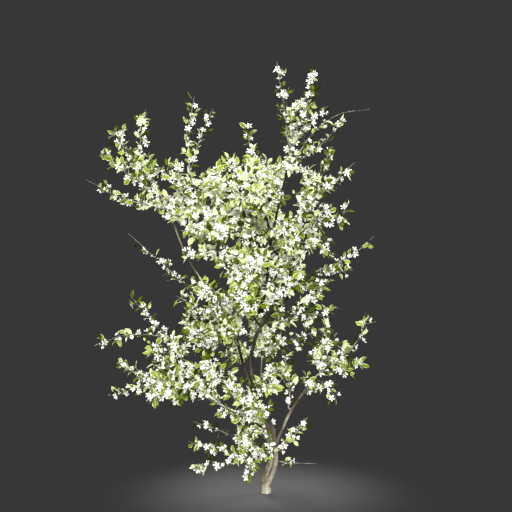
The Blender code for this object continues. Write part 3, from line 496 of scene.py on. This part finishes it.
class Crowd:
    """Remembers where flowers and leaves stand, so that no two share one place."""

    def __init__(self, apart):
        self.apart = apart
        self.cells = {}

    def takes(self, place):
        cell = tuple(math.floor(c / self.apart) for c in place)
        near = [(i, j, k) for i in (-1, 0, 1) for j in (-1, 0, 1) for k in (-1, 0, 1)]
        for i, j, k in near:
            for other in self.cells.get((cell[0] + i, cell[1] + j, cell[2] + k), ()):
                if (other - place).length < self.apart:
                    return False
        self.cells.setdefault(cell, []).append(place)
        return True


def outward(place):
    """Level direction away from the crown's middle, longer further out."""
    away = Vector((place.x - CROWN_MIDDLE, place.y, 0))
    return away / max(away.length, CROWN_CORE)


Flower = namedtuple("Flower", "root base way turn size kind")
Leaf = namedtuple("Leaf", "root base way face size kind tint")


def painted_light_at(place):
    """How strongly light is painted on the leaves at a place: 1 in the upper heart of the crown, falling to 0 away
    from it.
    """
    away = math.hypot(place.x - PAINTED_LIGHT_HEART[0], place.z - PAINTED_LIGHT_HEART[1])
    return max(0.0, 1 - (away / PAINTED_LIGHT_REACH) ** 2)


def pick_tint(chance, painted_light):
    """A tint for a spray: pale ones where light is painted, deep ones and the dark painted shade elsewhere."""
    shares = []
    for tint, share in TINT_SHARES.items():
        least, gain = PALE_SHARE if tint in PALE_TINTS else DEEP_SHARE
        shares.append(share * (least + gain * painted_light))
    return chance.choices(list(TINT_SHARES), shares)[0]


class Dressing:
    """The flowers and leaves of one mass."""

    def __init__(self, space, crowds):
        self.space = space
        self.flower_crowd, self.leaf_crowd = crowds
        self.flowers, self.leaves = [], []
        self.tint, self.painted_light = None, 0.0  # of the spray in hand

    def dress(self, line, first, last):
        """Buds a step apart along a twig, a golden turn from one to the next, that open as flowers or leaves."""
        chance = random.Random(f"{line.name} buds")
        length = lengths(line.points)[-1]
        count = max(1, round(length * (last - first) / NODE_STEP * fullness(line)))
        # The spray's tint follows the painted light at its middle: pale tints high in the crown, deep ones
        # elsewhere.
        self.painted_light = painted_light_at(station(line, 0.5)[0])
        self.tint = pick_tint(chance, self.painted_light)
        turn = chance.uniform(0, 2 * math.pi)
        for k in range(count):
            spot = station(line, first + (last - first) * (k + chance.uniform(*BUD_WITHIN)) / count)
            turn += GOLDEN + chance.uniform(*BUD_TURNS)
            if chance.random() < CLUSTER_CHANCE + BRIGHT_CLUSTERS * (self.painted_light - BRIGHT_MEAN):
                self.cluster(line.mass, spot, turn, chance)
            if chance.random() < LEAF_CHANCE:
                self.leaf(line.mass, spot, turn + chance.uniform(*LEAF_TURNS), chance, LEAF_FORKS)

    def cluster(self, mass, spot, turn, chance):
        """The flowers of one bud."""
        place, heading, thickness = spot
        for _ in range(chance.choice(CLUSTER_SIZES)):
            side = sideways(heading, turn + chance.uniform(*STALK_TURNS))
            way = (side + chance.uniform(*STALK_LEAN) * heading).normalized()
            root = place + 0.5 * thickness * side
            base = root + chance.uniform(*STALK) * way
            stray = Vector([chance.gauss(0, FLOWER_STRAY) for _ in range(3)])
            way = (way + OUTWARD * outward(place) + stray).normalized()
            kind = chance.choices(list(FLOWERS), [share for share, _, _ in FLOWERS.values()])[0]
            size = chance.uniform(*FLOWER_SIZE)
            flower = Flower(root, base, way, chance.uniform(0, 2 * math.pi), size, kind)
            inside = self.space.holds(mass, [base + FLOWER_HEIGHT * way, base + FLOWER_REACH * side])
            if inside and self.flower_crowd.takes(base + FLOWER_CORE * way):
                self.flowers.append(flower)

    def leaf(self, mass, spot, turn, chance, forks):
        """A leaf that leaves its twig at one of the forks."""
        place, heading, thickness = spot
        fork = chance.uniform(*forks)
        side = sideways(heading, turn)
        way = (heading * math.cos(fork) + side * math.sin(fork)).normalized()
        way = (way - Vector((0, 0, chance.uniform(*LEAF_DROOP)))).normalized()
        root = place + 0.5 * thickness * side
        base = root + chance.uniform(*LEAF_STALK) * way
        size = chance.uniform(*LEAF_LENGTH)
        stray = Vector([chance.gauss(0, LEAF_STRAY) for _ in range(3)])
        face = Vector((0, 0, LEAF_FACE_UP)) + OUTWARD * outward(place) + stray
        kind = chance.choice(list(LEAF_FORMS))
        tint = self.tint if chance.random() < SAME_TINT else pick_tint(chance, self.painted_light)
        middle = base + 0.5 * size * way
        if self.space.holds(mass, [middle, base + 0.9 * size * way]) and self.leaf_crowd.takes(middle):
            self.leaves.append(Leaf(root, base, way, face, size, kind, tint))

    def tuft(self, line, chance):
        """Young leaves at a twig's tip."""
        spot = station(line, TUFT_PLACE)
        turn = chance.uniform(0, 2 * math.pi)
        for k in range(chance.choice(TUFT_SIZES)):
            self.leaf(line.mass, spot, turn + k * GOLDEN, chance, TUFT_FORKS)


# ---- meshes from arrays


def add_mesh(name, verts, faces, material, smooth_faces=True):
    """An object from an array of corners and one of faces that all have as many corners."""
    mesh = bpy.data.meshes.new(name)
    mesh.vertices.add(len(verts))
    mesh.vertices.foreach_set("co", np.ascontiguousarray(verts, np.float32).ravel())
    sides = faces.shape[1]
    mesh.loops.add(faces.size)
    mesh.loops.foreach_set("vertex_index", np.ascontiguousarray(faces, np.int32).ravel())
    mesh.polygons.add(len(faces))
    mesh.polygons.foreach_set("loop_start", np.arange(0, faces.size, sides, dtype=np.int32))
    mesh.polygons.foreach_set("use_smooth", np.full(len(faces), smooth_faces))
    mesh.update(calc_edges=True)
    mesh.materials.append(material)
    thing = bpy.data.objects.new(name, mesh)
    bpy.context.scene.collection.objects.link(thing)
    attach(thing, "root")
    return thing


def stamp(template, matrices):
    """A template of corners and faces repeated at every matrix."""
    verts, faces = template
    matrices = np.array(matrices)
    placed = np.einsum("mij,vj->mvi", matrices[:, :3, :3], verts) + matrices[:, None, :3, 3]
    shifts = len(verts) * np.arange(len(matrices))
    return placed.reshape(-1, 3), (faces[None] + shifts[:, None, None]).reshape(-1, faces.shape[1])


def merged(parts):
    """Several pairs of corners and faces as one pair."""
    verts, faces, total = [], [], 0
    for part_verts, part_faces in parts:
        verts.append(part_verts)
        faces.append(part_faces + total)
        total += len(part_verts)
    return np.concatenate(verts), np.concatenate(faces)


def circle(across, other, sides):
    """Directions all round, for every pair of directions that spans a circle."""
    turns = 2 * np.pi * np.arange(sides) / sides
    return np.cos(turns)[None, :, None] * across[:, None] + np.sin(turns)[None, :, None] * other[:, None]


def rings(points, radii, sides):
    """Rings of corners along one line."""
    heading = np.gradient(points, axis=0)
    heading /= np.linalg.norm(heading, axis=1)[:, None]
    across = np.array(sideways(Vector(heading[0]), 0))
    spans = []
    for way in heading:
        across = across - across.dot(way) * way
        across /= np.linalg.norm(across)
        spans.append((across, np.cross(way, across)))
    spans = np.array(spans)
    return points[:, None] + radii[:, None, None] * circle(spans[:, 0], spans[:, 1], sides)


def ring_quads(count, sides):
    """Faces between each of count rings and the next."""
    row = np.arange(sides)
    after = (row + 1) % sides
    base = (np.arange(count - 1) * sides)[:, None]
    return np.stack([base + row, base + after, base + sides + after, base + sides + row], 2).reshape(-1, 4)


def cap_faces(count, sides):
    """Faces from the last of count rings to the corner that follows it."""
    last = (count - 1) * sides
    return [(last + k, last + (k + 1) % sides, last + sides) for k in range(sides)]


def tube(points, radii, sides):
    """A twig of triangles, open at its sunk root and drawn to a point at its tip."""
    corners = rings(points, radii, sides)
    quads = ring_quads(len(points), sides)
    faces = np.concatenate([quads[:, [0, 1, 2]], quads[:, [0, 2, 3]], cap_faces(len(points), sides)])
    return np.concatenate([corners.reshape(-1, 3), points[-1:]]), faces


def stalks(roots, bases, radius):
    """Three-sided stalks from roots to bases, all at once."""
    roots, bases = np.array(roots), np.array(bases)
    way = (bases - roots) / np.linalg.norm(bases - roots, axis=1)[:, None]
    flat = np.where(np.abs(way[:, 2:]) < 0.9, [[0, 0, 1.0]], [[1.0, 0, 0]])
    across = np.cross(way, flat)
    across /= np.linalg.norm(across, axis=1)[:, None]
    round_ = radius * circle(across, np.cross(way, across), 3)
    verts = np.stack([p[:, None] + round_ for p in (roots, bases)], 1)
    faces = ring_quads(2, 3)[:, [0, 1, 2, 0, 2, 3]].reshape(-1, 3)
    shifts = 6 * np.arange(len(roots))
    return verts.reshape(-1, 3), (faces[None] + shifts[:, None, None]).reshape(-1, 3)


# ---- shapes of a flower and a leaf

PETALS = 5
PETAL_LENGTH, PETAL_WIDTH = 0.0188, 0.0096
PETAL_ROWS = ((0.0, 0.16), (0.30, 0.62), (0.66, 1.0), (1.0, 0.46))  # share along, share of width
PETAL_NOTCH = 0.17  # share of the length
PETAL_START, PETAL_OVERLAP = 0.0012, 0.0005

STAMENS = 7
STAMEN_SPREAD, STAMEN_REACH = (0.40, 0.60), (0.75, 0.25)  # least, and what the longest adds
FILAMENT = 0.00022
ANTHER_SIDE, ANTHER_TOP, ANTHER_FOOT = 0.00062, 0.0011, 0.0004

LOBES = 5
CALYX_RINGS = ((0.0011, -0.0045), (0.0021, 0.0004))  # radius and height
CALYX_TIP = (0.0058, 0.0002)
CALYX_DEPTH = 0.004  # where its stalk meets it

BUD_SIDES, BUD_TOP, BUD_TWIST = 6, 0.0122, 60
BUD_PROFILE = ((0.0011, -0.001), (0.0040, 0.0035), (0.0042, 0.0070), (0.0022, 0.0108))  # radius and height

LEAF_ROWS = 6
LEAF_WIDTH, LEAF_TIP_WIDTH = 0.285, 0.0015
LEAF_SWELL, LEAF_ROUND, LEAF_NARROW = 0.80, 0.9, 0.30  # shape of its outline
LEAF_TEETH = (0.95, 1.06)
LEAF_RIPPLE, LEAF_RIPPLES = 0.02, 9
RIM = 0.76  # where a leaf's pale rim begins, as a share of its half width


def strip_faces(rows, columns):
    """Triangles of a grid of corners."""
    faces = []
    for r in range(rows - 1):
        for c in range(columns - 1):
            a = r * columns + c
            b = a + columns
            faces += [(a, a + 1, b + 1), (a, b + 1, b)]
    return np.array(faces)


def make_petal(open_angle, cup, lift):
    """A notched petal that starts at the middle of the flower and leans open_angle off the flower's axis."""
    verts = []
    for along, wide in PETAL_ROWS:
        for side in (-1, 0, 1):
            notch = PETAL_NOTCH * PETAL_LENGTH if along == 1 and side == 0 else 0
            out = along * PETAL_LENGTH - notch
            lean = open_angle - cup * along
            x = 0.5 * wide * PETAL_WIDTH * side
            y = PETAL_START + out * math.sin(lean)
            z = out * math.cos(lean) + lift * PETAL_WIDTH * wide * side * side + PETAL_OVERLAP * side
            verts.append((x, y, z))
    return np.array(verts), strip_faces(len(PETAL_ROWS), 3)


def make_flower(open_angle, cup, lift):
    """Five petals that face +Z."""
    verts, faces = make_petal(open_angle, cup, lift)
    turns = [Matrix.Rotation(2 * math.pi * k / PETALS, 3, "Z") for k in range(PETALS)]
    return merged([(verts @ np.array(turn).T, faces) for turn in turns])


def make_heart(spread, reach):
    """The stamens of a flower: fine filaments with anthers."""
    verts, faces = [], []
    for k in range(STAMENS):
        turn = k * GOLDEN
        out = spread * (STAMEN_SPREAD[0] + STAMEN_SPREAD[1] * ((k * 5) % STAMENS) / STAMENS)
        way = Vector((math.sin(out) * math.cos(turn), math.sin(out) * math.sin(turn), math.cos(out)))
        side = Vector((-math.sin(turn), math.cos(turn), 0))
        tip = reach * (STAMEN_REACH[0] + STAMEN_REACH[1] * ((k * 5) % STAMENS) / (STAMENS - 1)) * way
        a = len(verts)
        verts += [-FILAMENT * side, FILAMENT * side, tip, tip + ANTHER_SIDE * side, tip - ANTHER_SIDE * side]
        verts += [tip + ANTHER_TOP * way, tip - ANTHER_FOOT * way]
        faces += [(a, a + 1, a + 2), (a + 3, a + 5, a + 4), (a + 3, a + 4, a + 6)]
    return np.array(verts), np.array(faces)


def make_calyx():
    """The green cup under a flower, with five pointed lobes."""
    verts, faces = [], []
    for k in range(LOBES):
        turn = 2 * math.pi * (k + 0.5) / LOBES
        way = Vector((math.cos(turn), math.sin(turn), 0))
        verts += [radius * way + Vector((0, 0, height)) for radius, height in CALYX_RINGS]
        a, b = 2 * k, 2 * ((k + 1) % LOBES)
        faces += [(a, b, b + 1), (a, b + 1, a + 1), (a + 1, b + 1, 2 * LOBES + (k + 1) % LOBES)]
    radius, height = CALYX_TIP
    for k in range(LOBES):
        turn = 2 * math.pi * k / LOBES
        verts.append(Vector((radius * math.cos(turn), radius * math.sin(turn), height)))
    return np.array(verts), np.array(faces)


def make_bud():
    """A closed bud: a plump egg of petals."""
    verts = []
    for radius, height in BUD_PROFILE:
        for k in range(BUD_SIDES):
            turn = 2 * math.pi * k / BUD_SIDES + height * BUD_TWIST
            verts.append((radius * math.cos(turn), radius * math.sin(turn), height))
    verts.append((0, 0, BUD_TOP))
    count = len(BUD_PROFILE)
    sides = ring_quads(count, BUD_SIDES)[:, [0, 1, 2, 0, 2, 3]].reshape(-1, 3)
    return np.array(verts), np.concatenate([sides, cap_faces(count, BUD_SIDES)])


def make_leaf(fold, curl, twist, columns):
    """Columns of a leaf of unit length along +Z, faced to -Y: a pointed oval, folded at its midrib and curled."""
    verts = []
    for row in range(LEAF_ROWS):
        along = row / (LEAF_ROWS - 1)
        wide = LEAF_WIDTH * math.sin(math.pi * along**LEAF_SWELL) ** LEAF_ROUND * LEAF_TEETH[row % 2]
        wide = max(wide * (1 - LEAF_NARROW * along**4), LEAF_TIP_WIDTH)
        bend = curl * along
        turn = twist * along
        for side in columns:
            ripple = LEAF_RIPPLE * side * math.sin(LEAF_RIPPLES * along)
            x = wide * side * math.cos(fold)
            y = -wide * abs(side) * math.sin(fold) + 0.5 * curl * along * along + ripple
            z = along * math.cos(0.6 * bend)
            verts.append((x * math.cos(turn) - y * math.sin(turn), x * math.sin(turn) + y * math.cos(turn), z))
    return np.array(verts), strip_faces(LEAF_ROWS, len(columns))


def leaf_matrix(leaf):
    """Sends +Z to the leaf's way and -Y as near as it goes to the side it faces."""
    z = leaf.way
    y = -(leaf.face - leaf.face.dot(z) * z).normalized()
    x = y.cross(z)
    spin = Matrix((x, y, z)).transposed().to_4x4()
    return Matrix.Translation(leaf.base) @ spin @ Matrix.Scale(leaf.size, 4)


def flower_matrix(flower):
    spin = flower.way.to_track_quat("Z", "Y").to_matrix().to_4x4()
    turned = spin @ Matrix.Rotation(flower.turn, 4, "Z")
    return Matrix.Translation(flower.base) @ turned @ Matrix.Scale(flower.size, 4)


# ---- bark

THICK_LIMBS = ("trunk", "stem_right", "stem_left", "leader", "bough_long")
THICK_MESH, THIN_MESH = (0.0032, 36), (0.004, 20)  # step from ring to ring, and sides
COLLAR, COLLAR_WIDTH = 0.45, 2.2  # swelling where a limb springs, as shares of its radius
COLLAR_FULL = 0.3  # the height from which collars are full
RIDGES, CRACKS, FINE = (55, 9, 0), (190, 42, 5), (420, 620, 0)  # waves in a metre across and up, and a shift
RIDGE_HEIGHT, CRACK_HEIGHT, FINE_HEIGHT = 0.05, 0.0011, 0.00022  # ridges as a share of the radius
CRACK_WIDTH, CRACK_EDGE, CRACK_RADIUS, CRACKS_ABOVE = 0.16, 4, 0.012, 0.25
OLD_HEIGHT, OLD_GRAIN = 0.16, 1.2  # how fast the rough old bark ends above the foot, and how much coarser it is
FLUTES, FLUTE_HEIGHT, FLUTE_DEPTH, FLUTE_TURN = 5, 0.09, 0.09, 0.8  # lobes of the foot
FLAT_CUT = 1e-6


def bark_height(place, radius, rise):
    """How far the bark stands off its smooth round at a place, in metres: long ridges, cracks low down, grain."""
    ridge, crack, fine = (
        noise.noise(Vector((place.x * across, place.y * across, place.z * up + shift)))
        for across, up, shift in (RIDGES, CRACKS, FINE))
    low = math.exp(-rise / OLD_HEIGHT)
    split = max(0, CRACK_WIDTH - abs(crack))
    height = RIDGE_HEIGHT * radius * ridge
    height -= CRACK_HEIGHT * (CRACKS_ABOVE + low) * split * CRACK_EDGE * min(1, radius / CRACK_RADIUS)
    return height + FINE_HEIGHT * fine * (1 + OLD_GRAIN * low)


def make_limb(line, children, material):
    """A limb as one mesh with its bark's relief, a collar where each child springs, and closed ends."""
    step, sides = THICK_MESH if line.name in THICK_LIMBS else THIN_MESH
    points, radii = flowing(line, step)
    verts = []
    for ring, point, radius in zip(rings(points, radii, sides), points, radii.tolist()):
        middle = Vector(point)
        for corner in ring:
            corner = Vector(corner)
            out = (corner - middle) / radius
            height = bark_height(corner, radius, middle.z)
            for root, child_radius in children:
                near = (corner - root).length / (COLLAR_WIDTH * child_radius)
                if near < 3:
                    height += COLLAR * min(1, root.z / COLLAR_FULL) * child_radius * math.exp(-near * near)
            if line.name == "trunk" and middle.z < FLUTE_HEIGHT:
                turn = FLUTES * math.atan2(out.y, out.x) + FLUTE_TURN
                height += FLUTE_DEPTH * radius * (1 - middle.z / FLUTE_HEIGHT) * math.cos(turn)
            moved = corner + height * out
            if middle.z < FLAT_CUT:
                moved.z = corner.z
            verts.append(moved)
    thing = add_mesh(f"bark_{line.name}", np.array(verts), ring_quads(len(points), sides), material)
    close_ends(thing.data, sides)
    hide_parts(line.name)


def close_ends(mesh, sides):
    """Adds a face over either end of a tube."""
    bm = bmesh.new()
    bm.from_mesh(mesh)
    bm.verts.ensure_lookup_table()
    bm.faces.new([bm.verts[k] for k in reversed(range(sides))])
    bm.faces.new([bm.verts[len(bm.verts) - sides + k] for k in range(sides)])
    bm.to_mesh(mesh)
    bm.free()


# ---- materials

BROWN_AND_SHADE_HEIGHTS = {"trunk": (0.12, 0.38), "others": (0.42, 0.66), "bough_long": (1.2, 2.4)}  # where bark turns dark brown: partly its own colour, partly painted shade under the crown
BARK_ROUGHNESS, BARK_SPECULAR = 0.85, 0.1
FOOT_TONES = ((0.38, (0.070, 0.054, 0.031)), (0.50, (0.225, 0.205, 0.145)), (0.66, (0.43, 0.42, 0.325)))
# The brown tones are partly the bark's own colour and partly painted shade that the crown casts on the limbs.
BROWN_AND_SHADE_TONES = ((0.38, (0.010, 0.008, 0.005)), (0.54, (0.026, 0.021, 0.014)), (0.70, (0.12, 0.112, 0.080)))
BAND_TONES = ((0.38, (0.62, 0.58, 0.52)), (0.52, (0.9, 0.9, 0.9)), (0.68, (1.0, 1.0, 1.0)))
# Scale, detail and stretch.
STREAKS, BANDS, GRAIN = (16, 5, (1, 1, 0.35)), (90, 4, (0.5, 0.5, 2.6)), (420, 6, (1, 1, 0.4))
BARK_BUMP, BARK_BUMP_DEPTH = 0.5, 0.0008

# Two colours to drift between, then roughness, specular level, scale of the drift and strength of the bump.
FINISHES = {
    "twig_bark": ((0.020, 0.016, 0.011), (0.34, 0.31, 0.25), 0.6, 0.3, 28, 0.4),
    "petal_white": ((0.87, 0.875, 0.76), (0.95, 0.945, 0.93), 0.55, 0.25, 35, 0.15),
    "stamen_gold": ((0.40, 0.40, 0.15), (0.58, 0.55, 0.27), 0.6, 0.3, 90, 0.2),
    "calyx_green": ((0.30, 0.33, 0.09), (0.42, 0.44, 0.16), 0.55, 0.35, 70, 0.2),
    "leaf_rim": ((0.52, 0.57, 0.27), (0.68, 0.72, 0.45), 0.5, 0.3, 50, 0.2),
}
FINISHES.update((f"leaf_{tint}", (*colours, 0.55, 0.12, 30, 0.3)) for tint, colours in LEAF_TINTS.items())
DRIFT_DETAIL, DRIFT_FROM, DRIFT_TO = 3, 0.35, 0.65
FINE_GRAIN, FINE_BUMP_DEPTH = (900, 4), 0.0004


class Finish:
    """A material in the making: its shader and the nodes that feed it."""

    def __init__(self, name, roughness, specular):
        self.material = bpy.data.materials.new(name)
        self.material.use_nodes = True
        self.tree = self.material.node_tree
        self.shader = self.tree.nodes["Principled BSDF"]
        self.set(self.shader, {"Roughness": roughness, "Specular IOR Level": specular})

    def set(self, node, inputs):
        """Sets a node's inputs to values, or links them to outputs of other nodes."""
        for name, value in inputs.items():
            if isinstance(value, bpy.types.NodeSocket):
                self.tree.links.new(value, node.inputs[name])
            else:
                node.inputs[name].default_value = value

    def add(self, kind, inputs, output, **settings):
        """The output of a new node with these settings and inputs."""
        node = self.tree.nodes.new(f"ShaderNode{kind}")
        for name, value in settings.items():
            setattr(node, name, value)
        self.set(node, inputs)
        return node.outputs[output]

    def place(self):
        return self.add("TexCoord", {}, "Object")

    def noise(self, scale, detail, stretch=(1, 1, 1)):
        place = self.add("Mapping", {"Scale": stretch, "Vector": self.place()}, "Vector")
        return self.add("TexNoise", {"Scale": scale, "Detail": detail, "Vector": place}, "Fac")

    def ramp(self, source, stops):
        """Colours by a source from 0 to 1."""
        colour = self.add("ValToRGB", {"Fac": source}, "Color")
        ramp = colour.node.color_ramp
        while len(ramp.elements) < len(stops):
            ramp.elements.new(0.5)
        for element, (place, tone) in zip(ramp.elements, stops):
            element.position = place
            element.color = (*tone, 1)
        return colour

    def mix(self, way, share, first, second):
        inputs = {"Factor": share, "A": first, "B": second}
        return self.add("Mix", inputs, "Result", data_type="RGBA", blend_type=way)

    def spread(self, source, low, high, to_low=0.0, to_high=1.0, **settings):
        """A source from low to high as a value between two others."""
        inputs = {"Value": source, "From Min": low, "From Max": high, "To Min": to_low, "To Max": to_high}
        return self.add("MapRange", inputs, "Result", **settings)

    def bumpy(self, source, strength, depth):
        inputs = {"Strength": strength, "Distance": depth, "Height": source}
        self.set(self.shader, {"Normal": self.add("Bump", inputs, "Normal")})


def make_bark(name, low, high):
    """Pale and grey at the foot, with long streaks and level bands, and dark brown from one height to another: the
    bark's own browner tone darkened with painted shade of the crown.
    """
    bark = Finish(name, BARK_ROUGHNESS, BARK_SPECULAR)
    streaks = bark.noise(*STREAKS)
    rise = bark.spread(bark.add("SeparateXYZ", {"Vector": bark.place()}, "Z"), low, high)
    # Higher up the bark blends into the brown tones: its own browner colour with painted shade of the crown.
    tone = bark.mix("MIX", rise, bark.ramp(streaks, FOOT_TONES), bark.ramp(streaks, BROWN_AND_SHADE_TONES))
    colour = bark.mix("MULTIPLY", 1, tone, bark.ramp(bark.noise(*BANDS), BAND_TONES))
    bark.set(bark.shader, {"Base Color": colour})
    bark.bumpy(bark.noise(*GRAIN), BARK_BUMP, BARK_BUMP_DEPTH)
    return bark.material


def make_finish(name):
    """A finish that drifts between two near colours, with a fine bump."""
    low, high, roughness, specular, scale, bump = FINISHES[name]
    finish = Finish(name, roughness, specular)
    colour = finish.ramp(finish.noise(scale, DRIFT_DETAIL), ((DRIFT_FROM, low), (DRIFT_TO, high)))
    finish.set(finish.shader, {"Base Color": colour})
    finish.bumpy(finish.noise(*FINE_GRAIN), bump, FINE_BUMP_DEPTH)
    return finish.material


# ---- building

TWIG_MESH = ((0.0028, 8, 0.009), (0.0013, 5, 0.009), (0, 3, 0.016))  # thicker than this: sides, step along
NODE_SWELL, NODE_WAVE = 0.16, 2.4  # slight swellings along a twig
LEAF_FOOT = 0.002  # how far up a leaf its stalk runs


def build_limbs(limbs, masses):
    """Bark over every limb, with collars round the roots of what springs from it."""
    barks = {name: make_bark(f"bark_{name}", *heights) for name, heights in BROWN_AND_SHADE_HEIGHTS.items()}
    springs = [(row[0], limbs[name]) for name, row in (STEMS | BOUGHS).items()]
    springs += [(SHOOTS[mass][0], leads[0]) for mass, leads in masses.items()]
    for name, line in limbs.items():
        children = [(child.points[0], child.radii[0]) for parent, child in springs if parent == name]
        make_limb(line, children, barks.get(name, barks["others"]))


def build_twigs(lines, masses, material, tier):
    """Every twig of a tier in one piece."""
    parts = []
    for line in lines:
        thick = max(line.radii)
        sides, step = next((sides, step) for least, sides, step in TWIG_MESH if thick > least)
        points, radii = flowing(line, step)
        swell = 1 + NODE_SWELL * np.cos(np.arange(len(points)) * NODE_WAVE)
        parts.append(tube(points, radii * swell, sides))
    thing = add_mesh(f"twigs_{tier}", *merged(parts), material)
    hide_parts(*masses)


def tier_of(leads):
    """The tier that a mass belongs to, by the height of its middle."""
    middle = sum(lead.points[len(lead.points) // 2].z for lead in leads) / len(leads)
    return next(name for name, top in TIERS if middle < top)


def dress_mass(leads, space, crowds):
    """The lines of a mass, down to its finest twigs, and what they bear."""
    dressing = Dressing(space, crowds)
    lines = []
    for lead in map(crooked, leads):
        twigs = grow_off(lead, lead.twigs, lead.reach, TWIGS, lead.name, space)
        sprigs = grow_sprigs(lead, lead.reach, space)
        for twig in twigs:
            sprigs += grow_sprigs(twig, SPRIG_REACH * lead.reach, space)
        chance = random.Random(f"{lead.name} tips")
        first, last = SHOOT_DRESS
        dressing.dress(lead, first, last - bare_share(lead))
        for number, line in enumerate(twigs + sprigs):
            if number >= len(twigs) and chance.random() < BARE_SPRIGS:
                continue
            dressing.dress(line, *TWIG_DRESS)
            if chance.random() < TUFT_CHANCE:
                dressing.tuft(line, chance)
        lines += [lead] + twigs + sprigs
    return lines, dressing


def join_pieces(name, parts, material, smooth_faces=True):
    """Parts of one kind as one piece."""
    thing = add_mesh(name, *merged(parts), material, smooth_faces)


def build_blossom(flowers, tier, materials):
    """Petals, stamens, and calyces with their stalks, each kind joined."""
    petals, stamens = [], []
    for kind, (_, petal_form, heart_form) in FLOWERS.items():
        placed = [flower_matrix(f) for f in flowers if f.kind == kind]
        petals.append(stamp(make_flower(*petal_form) if petal_form else make_bud(), placed))
        if heart_form:
            stamens.append(stamp(make_heart(*heart_form), placed))
    calyces = [stamp(make_calyx(), [flower_matrix(f) for f in flowers])]
    ends = [f.base - CALYX_DEPTH * f.size * f.way for f in flowers]
    calyces.append(stalks([f.root for f in flowers], ends, STALK_RADIUS))
    join_pieces(f"petals_{tier}", petals, materials["petal_white"])
    join_pieces(f"stamens_{tier}", stamens, materials["stamen_gold"])
    join_pieces(f"calyces_{tier}", calyces, materials["calyx_green"])


def build_leaves(leaves, materials):
    """Leaves of every tint, each tint joined, and the pale rims of the lighter ones."""
    rims = []
    for tint in LEAF_TINTS:
        mine = [leaf for leaf in leaves if leaf.tint == tint]
        half = 1 if tint in RIMLESS else RIM
        blades = []
        for kind, form in LEAF_FORMS.items():
            placed = [leaf_matrix(x) for x in mine if x.kind == kind]
            blades.append(stamp(make_leaf(*form, (-half, 0, half)), placed))
            if half == RIM:
                rims.append(stamp(merged([make_leaf(*form, (-1, -RIM)), make_leaf(*form, (RIM, 1))]), placed))
        blades.append(stalks([x.root for x in mine], [x.base + LEAF_FOOT * x.way for x in mine], STALK_RADIUS))
        join_pieces(f"leaves_{tint}", blades, materials[f"leaf_{tint}"], smooth_faces=False)
    join_pieces("leaf_rims", rims, materials["leaf_rim"])


def build_tree():
    limbs = grow_limbs()
    masses = grow_shoots(limbs)
    space = Space(limbs, masses)
    build_limbs(limbs, masses)
    materials = {name: make_finish(name) for name in FINISHES}
    crowds = (Crowd(FLOWER_APART), Crowd(LEAF_APART))
    leaves = []
    for tier, _ in TIERS:
        lines, flowers = [], []
        names = [name for name, leads in masses.items() if tier_of(leads) == tier]
        for name in names:
            more, dressing = dress_mass(masses[name], space, crowds)
            lines += more
            flowers += dressing.flowers
            leaves += dressing.leaves
        build_twigs(lines, names, materials["twig_bark"], tier)
        build_blossom(flowers, tier, materials)
    build_leaves(leaves, materials)


# ---- the studio

FLOOR_RADIUS, FLOOR_SIDES, FLOOR_DROP = 1.3, 128, 0.0005
FLOOR_TONE, FLOOR_ROUGHNESS, FLOOR_SPECULAR = (0.55, 0.55, 0.55, 1), 0.85, 0.2
FLOOR_FADE, FLOOR_STRENGTH = 0.90, 0.11
BACKDROP_TONE = (0.0382, 0.0382, 0.0382, 1)

LIGHTS_AIM = Vector((0, 0, 1.1))
LIGHTS = {  # place, size, power
    "key": ((0.3, -8.6, 2.2), 1.2, 1290),
    "left": ((-4.6, -7.0, 2.8), 2.4, 130),
    "right": ((4.8, -6.6, 1.8), 2.4, 120),
    "back": ((-2.8, 6.0, 4.8), 2.2, 850),
    "side": ((5.6, 2.8, 2.8), 3.0, 480),
    "far_side": ((-6.2, 1.6, 2.6), 3.0, 300),
}

CAMERA_PLACE = (-0.05, -4.27, 1.185)
CAMERA_LENS, CAMERA_SENSOR = 60, 36


def add_object(name, data, place):
    thing = bpy.data.objects.new(name, data)
    thing.location = place
    bpy.context.scene.collection.objects.link(thing)
    return thing


def make_floor():
    """Pale round the foot, and gone further out, so that it meets the backdrop without an edge."""
    floor = Finish("floor_matt", FLOOR_ROUGHNESS, FLOOR_SPECULAR)
    far = floor.add("VectorMath", {0: floor.place()}, "Value", operation="LENGTH")
    fade = floor.spread(far, 0.0, FLOOR_FADE, FLOOR_STRENGTH, 0, interpolation_type="SMOOTHERSTEP")
    floor.set(floor.shader, {"Base Color": FLOOR_TONE, "Alpha": fade})
    return floor.material


def build_studio():
    """Pale floor, dark grey backdrop as in the world, soft lights, and the camera."""
    bm = bmesh.new()
    bmesh.ops.create_circle(bm, cap_ends=True, segments=FLOOR_SIDES, radius=FLOOR_RADIUS)
    mesh = bpy.data.meshes.new("floor")
    bm.to_mesh(mesh)
    bm.free()
    mesh.materials.append(make_floor())
    add_object("floor", mesh, (0, 0, -FLOOR_DROP))

    world = bpy.data.worlds.new("backdrop")
    world.use_nodes = True
    world.node_tree.nodes["Background"].inputs["Color"].default_value = BACKDROP_TONE
    bpy.context.scene.world = world
    bpy.context.scene.view_settings.view_transform = "Standard"

    for name, (place, size, power) in LIGHTS.items():
        data = bpy.data.lights.new(name, "AREA")
        data.size = size
        data.energy = power
        light = add_object(name, data, place)
        light.rotation_euler = (LIGHTS_AIM - Vector(place)).to_track_quat("-Z", "Y").to_euler()

    data = bpy.data.cameras.new("camera")
    data.lens = CAMERA_LENS
    data.sensor_width = CAMERA_SENSOR
    camera = add_object("camera", data, CAMERA_PLACE)
    camera.rotation_euler = (math.radians(90), 0, 0)
    bpy.context.scene.camera = camera


build_tree()
build_studio()
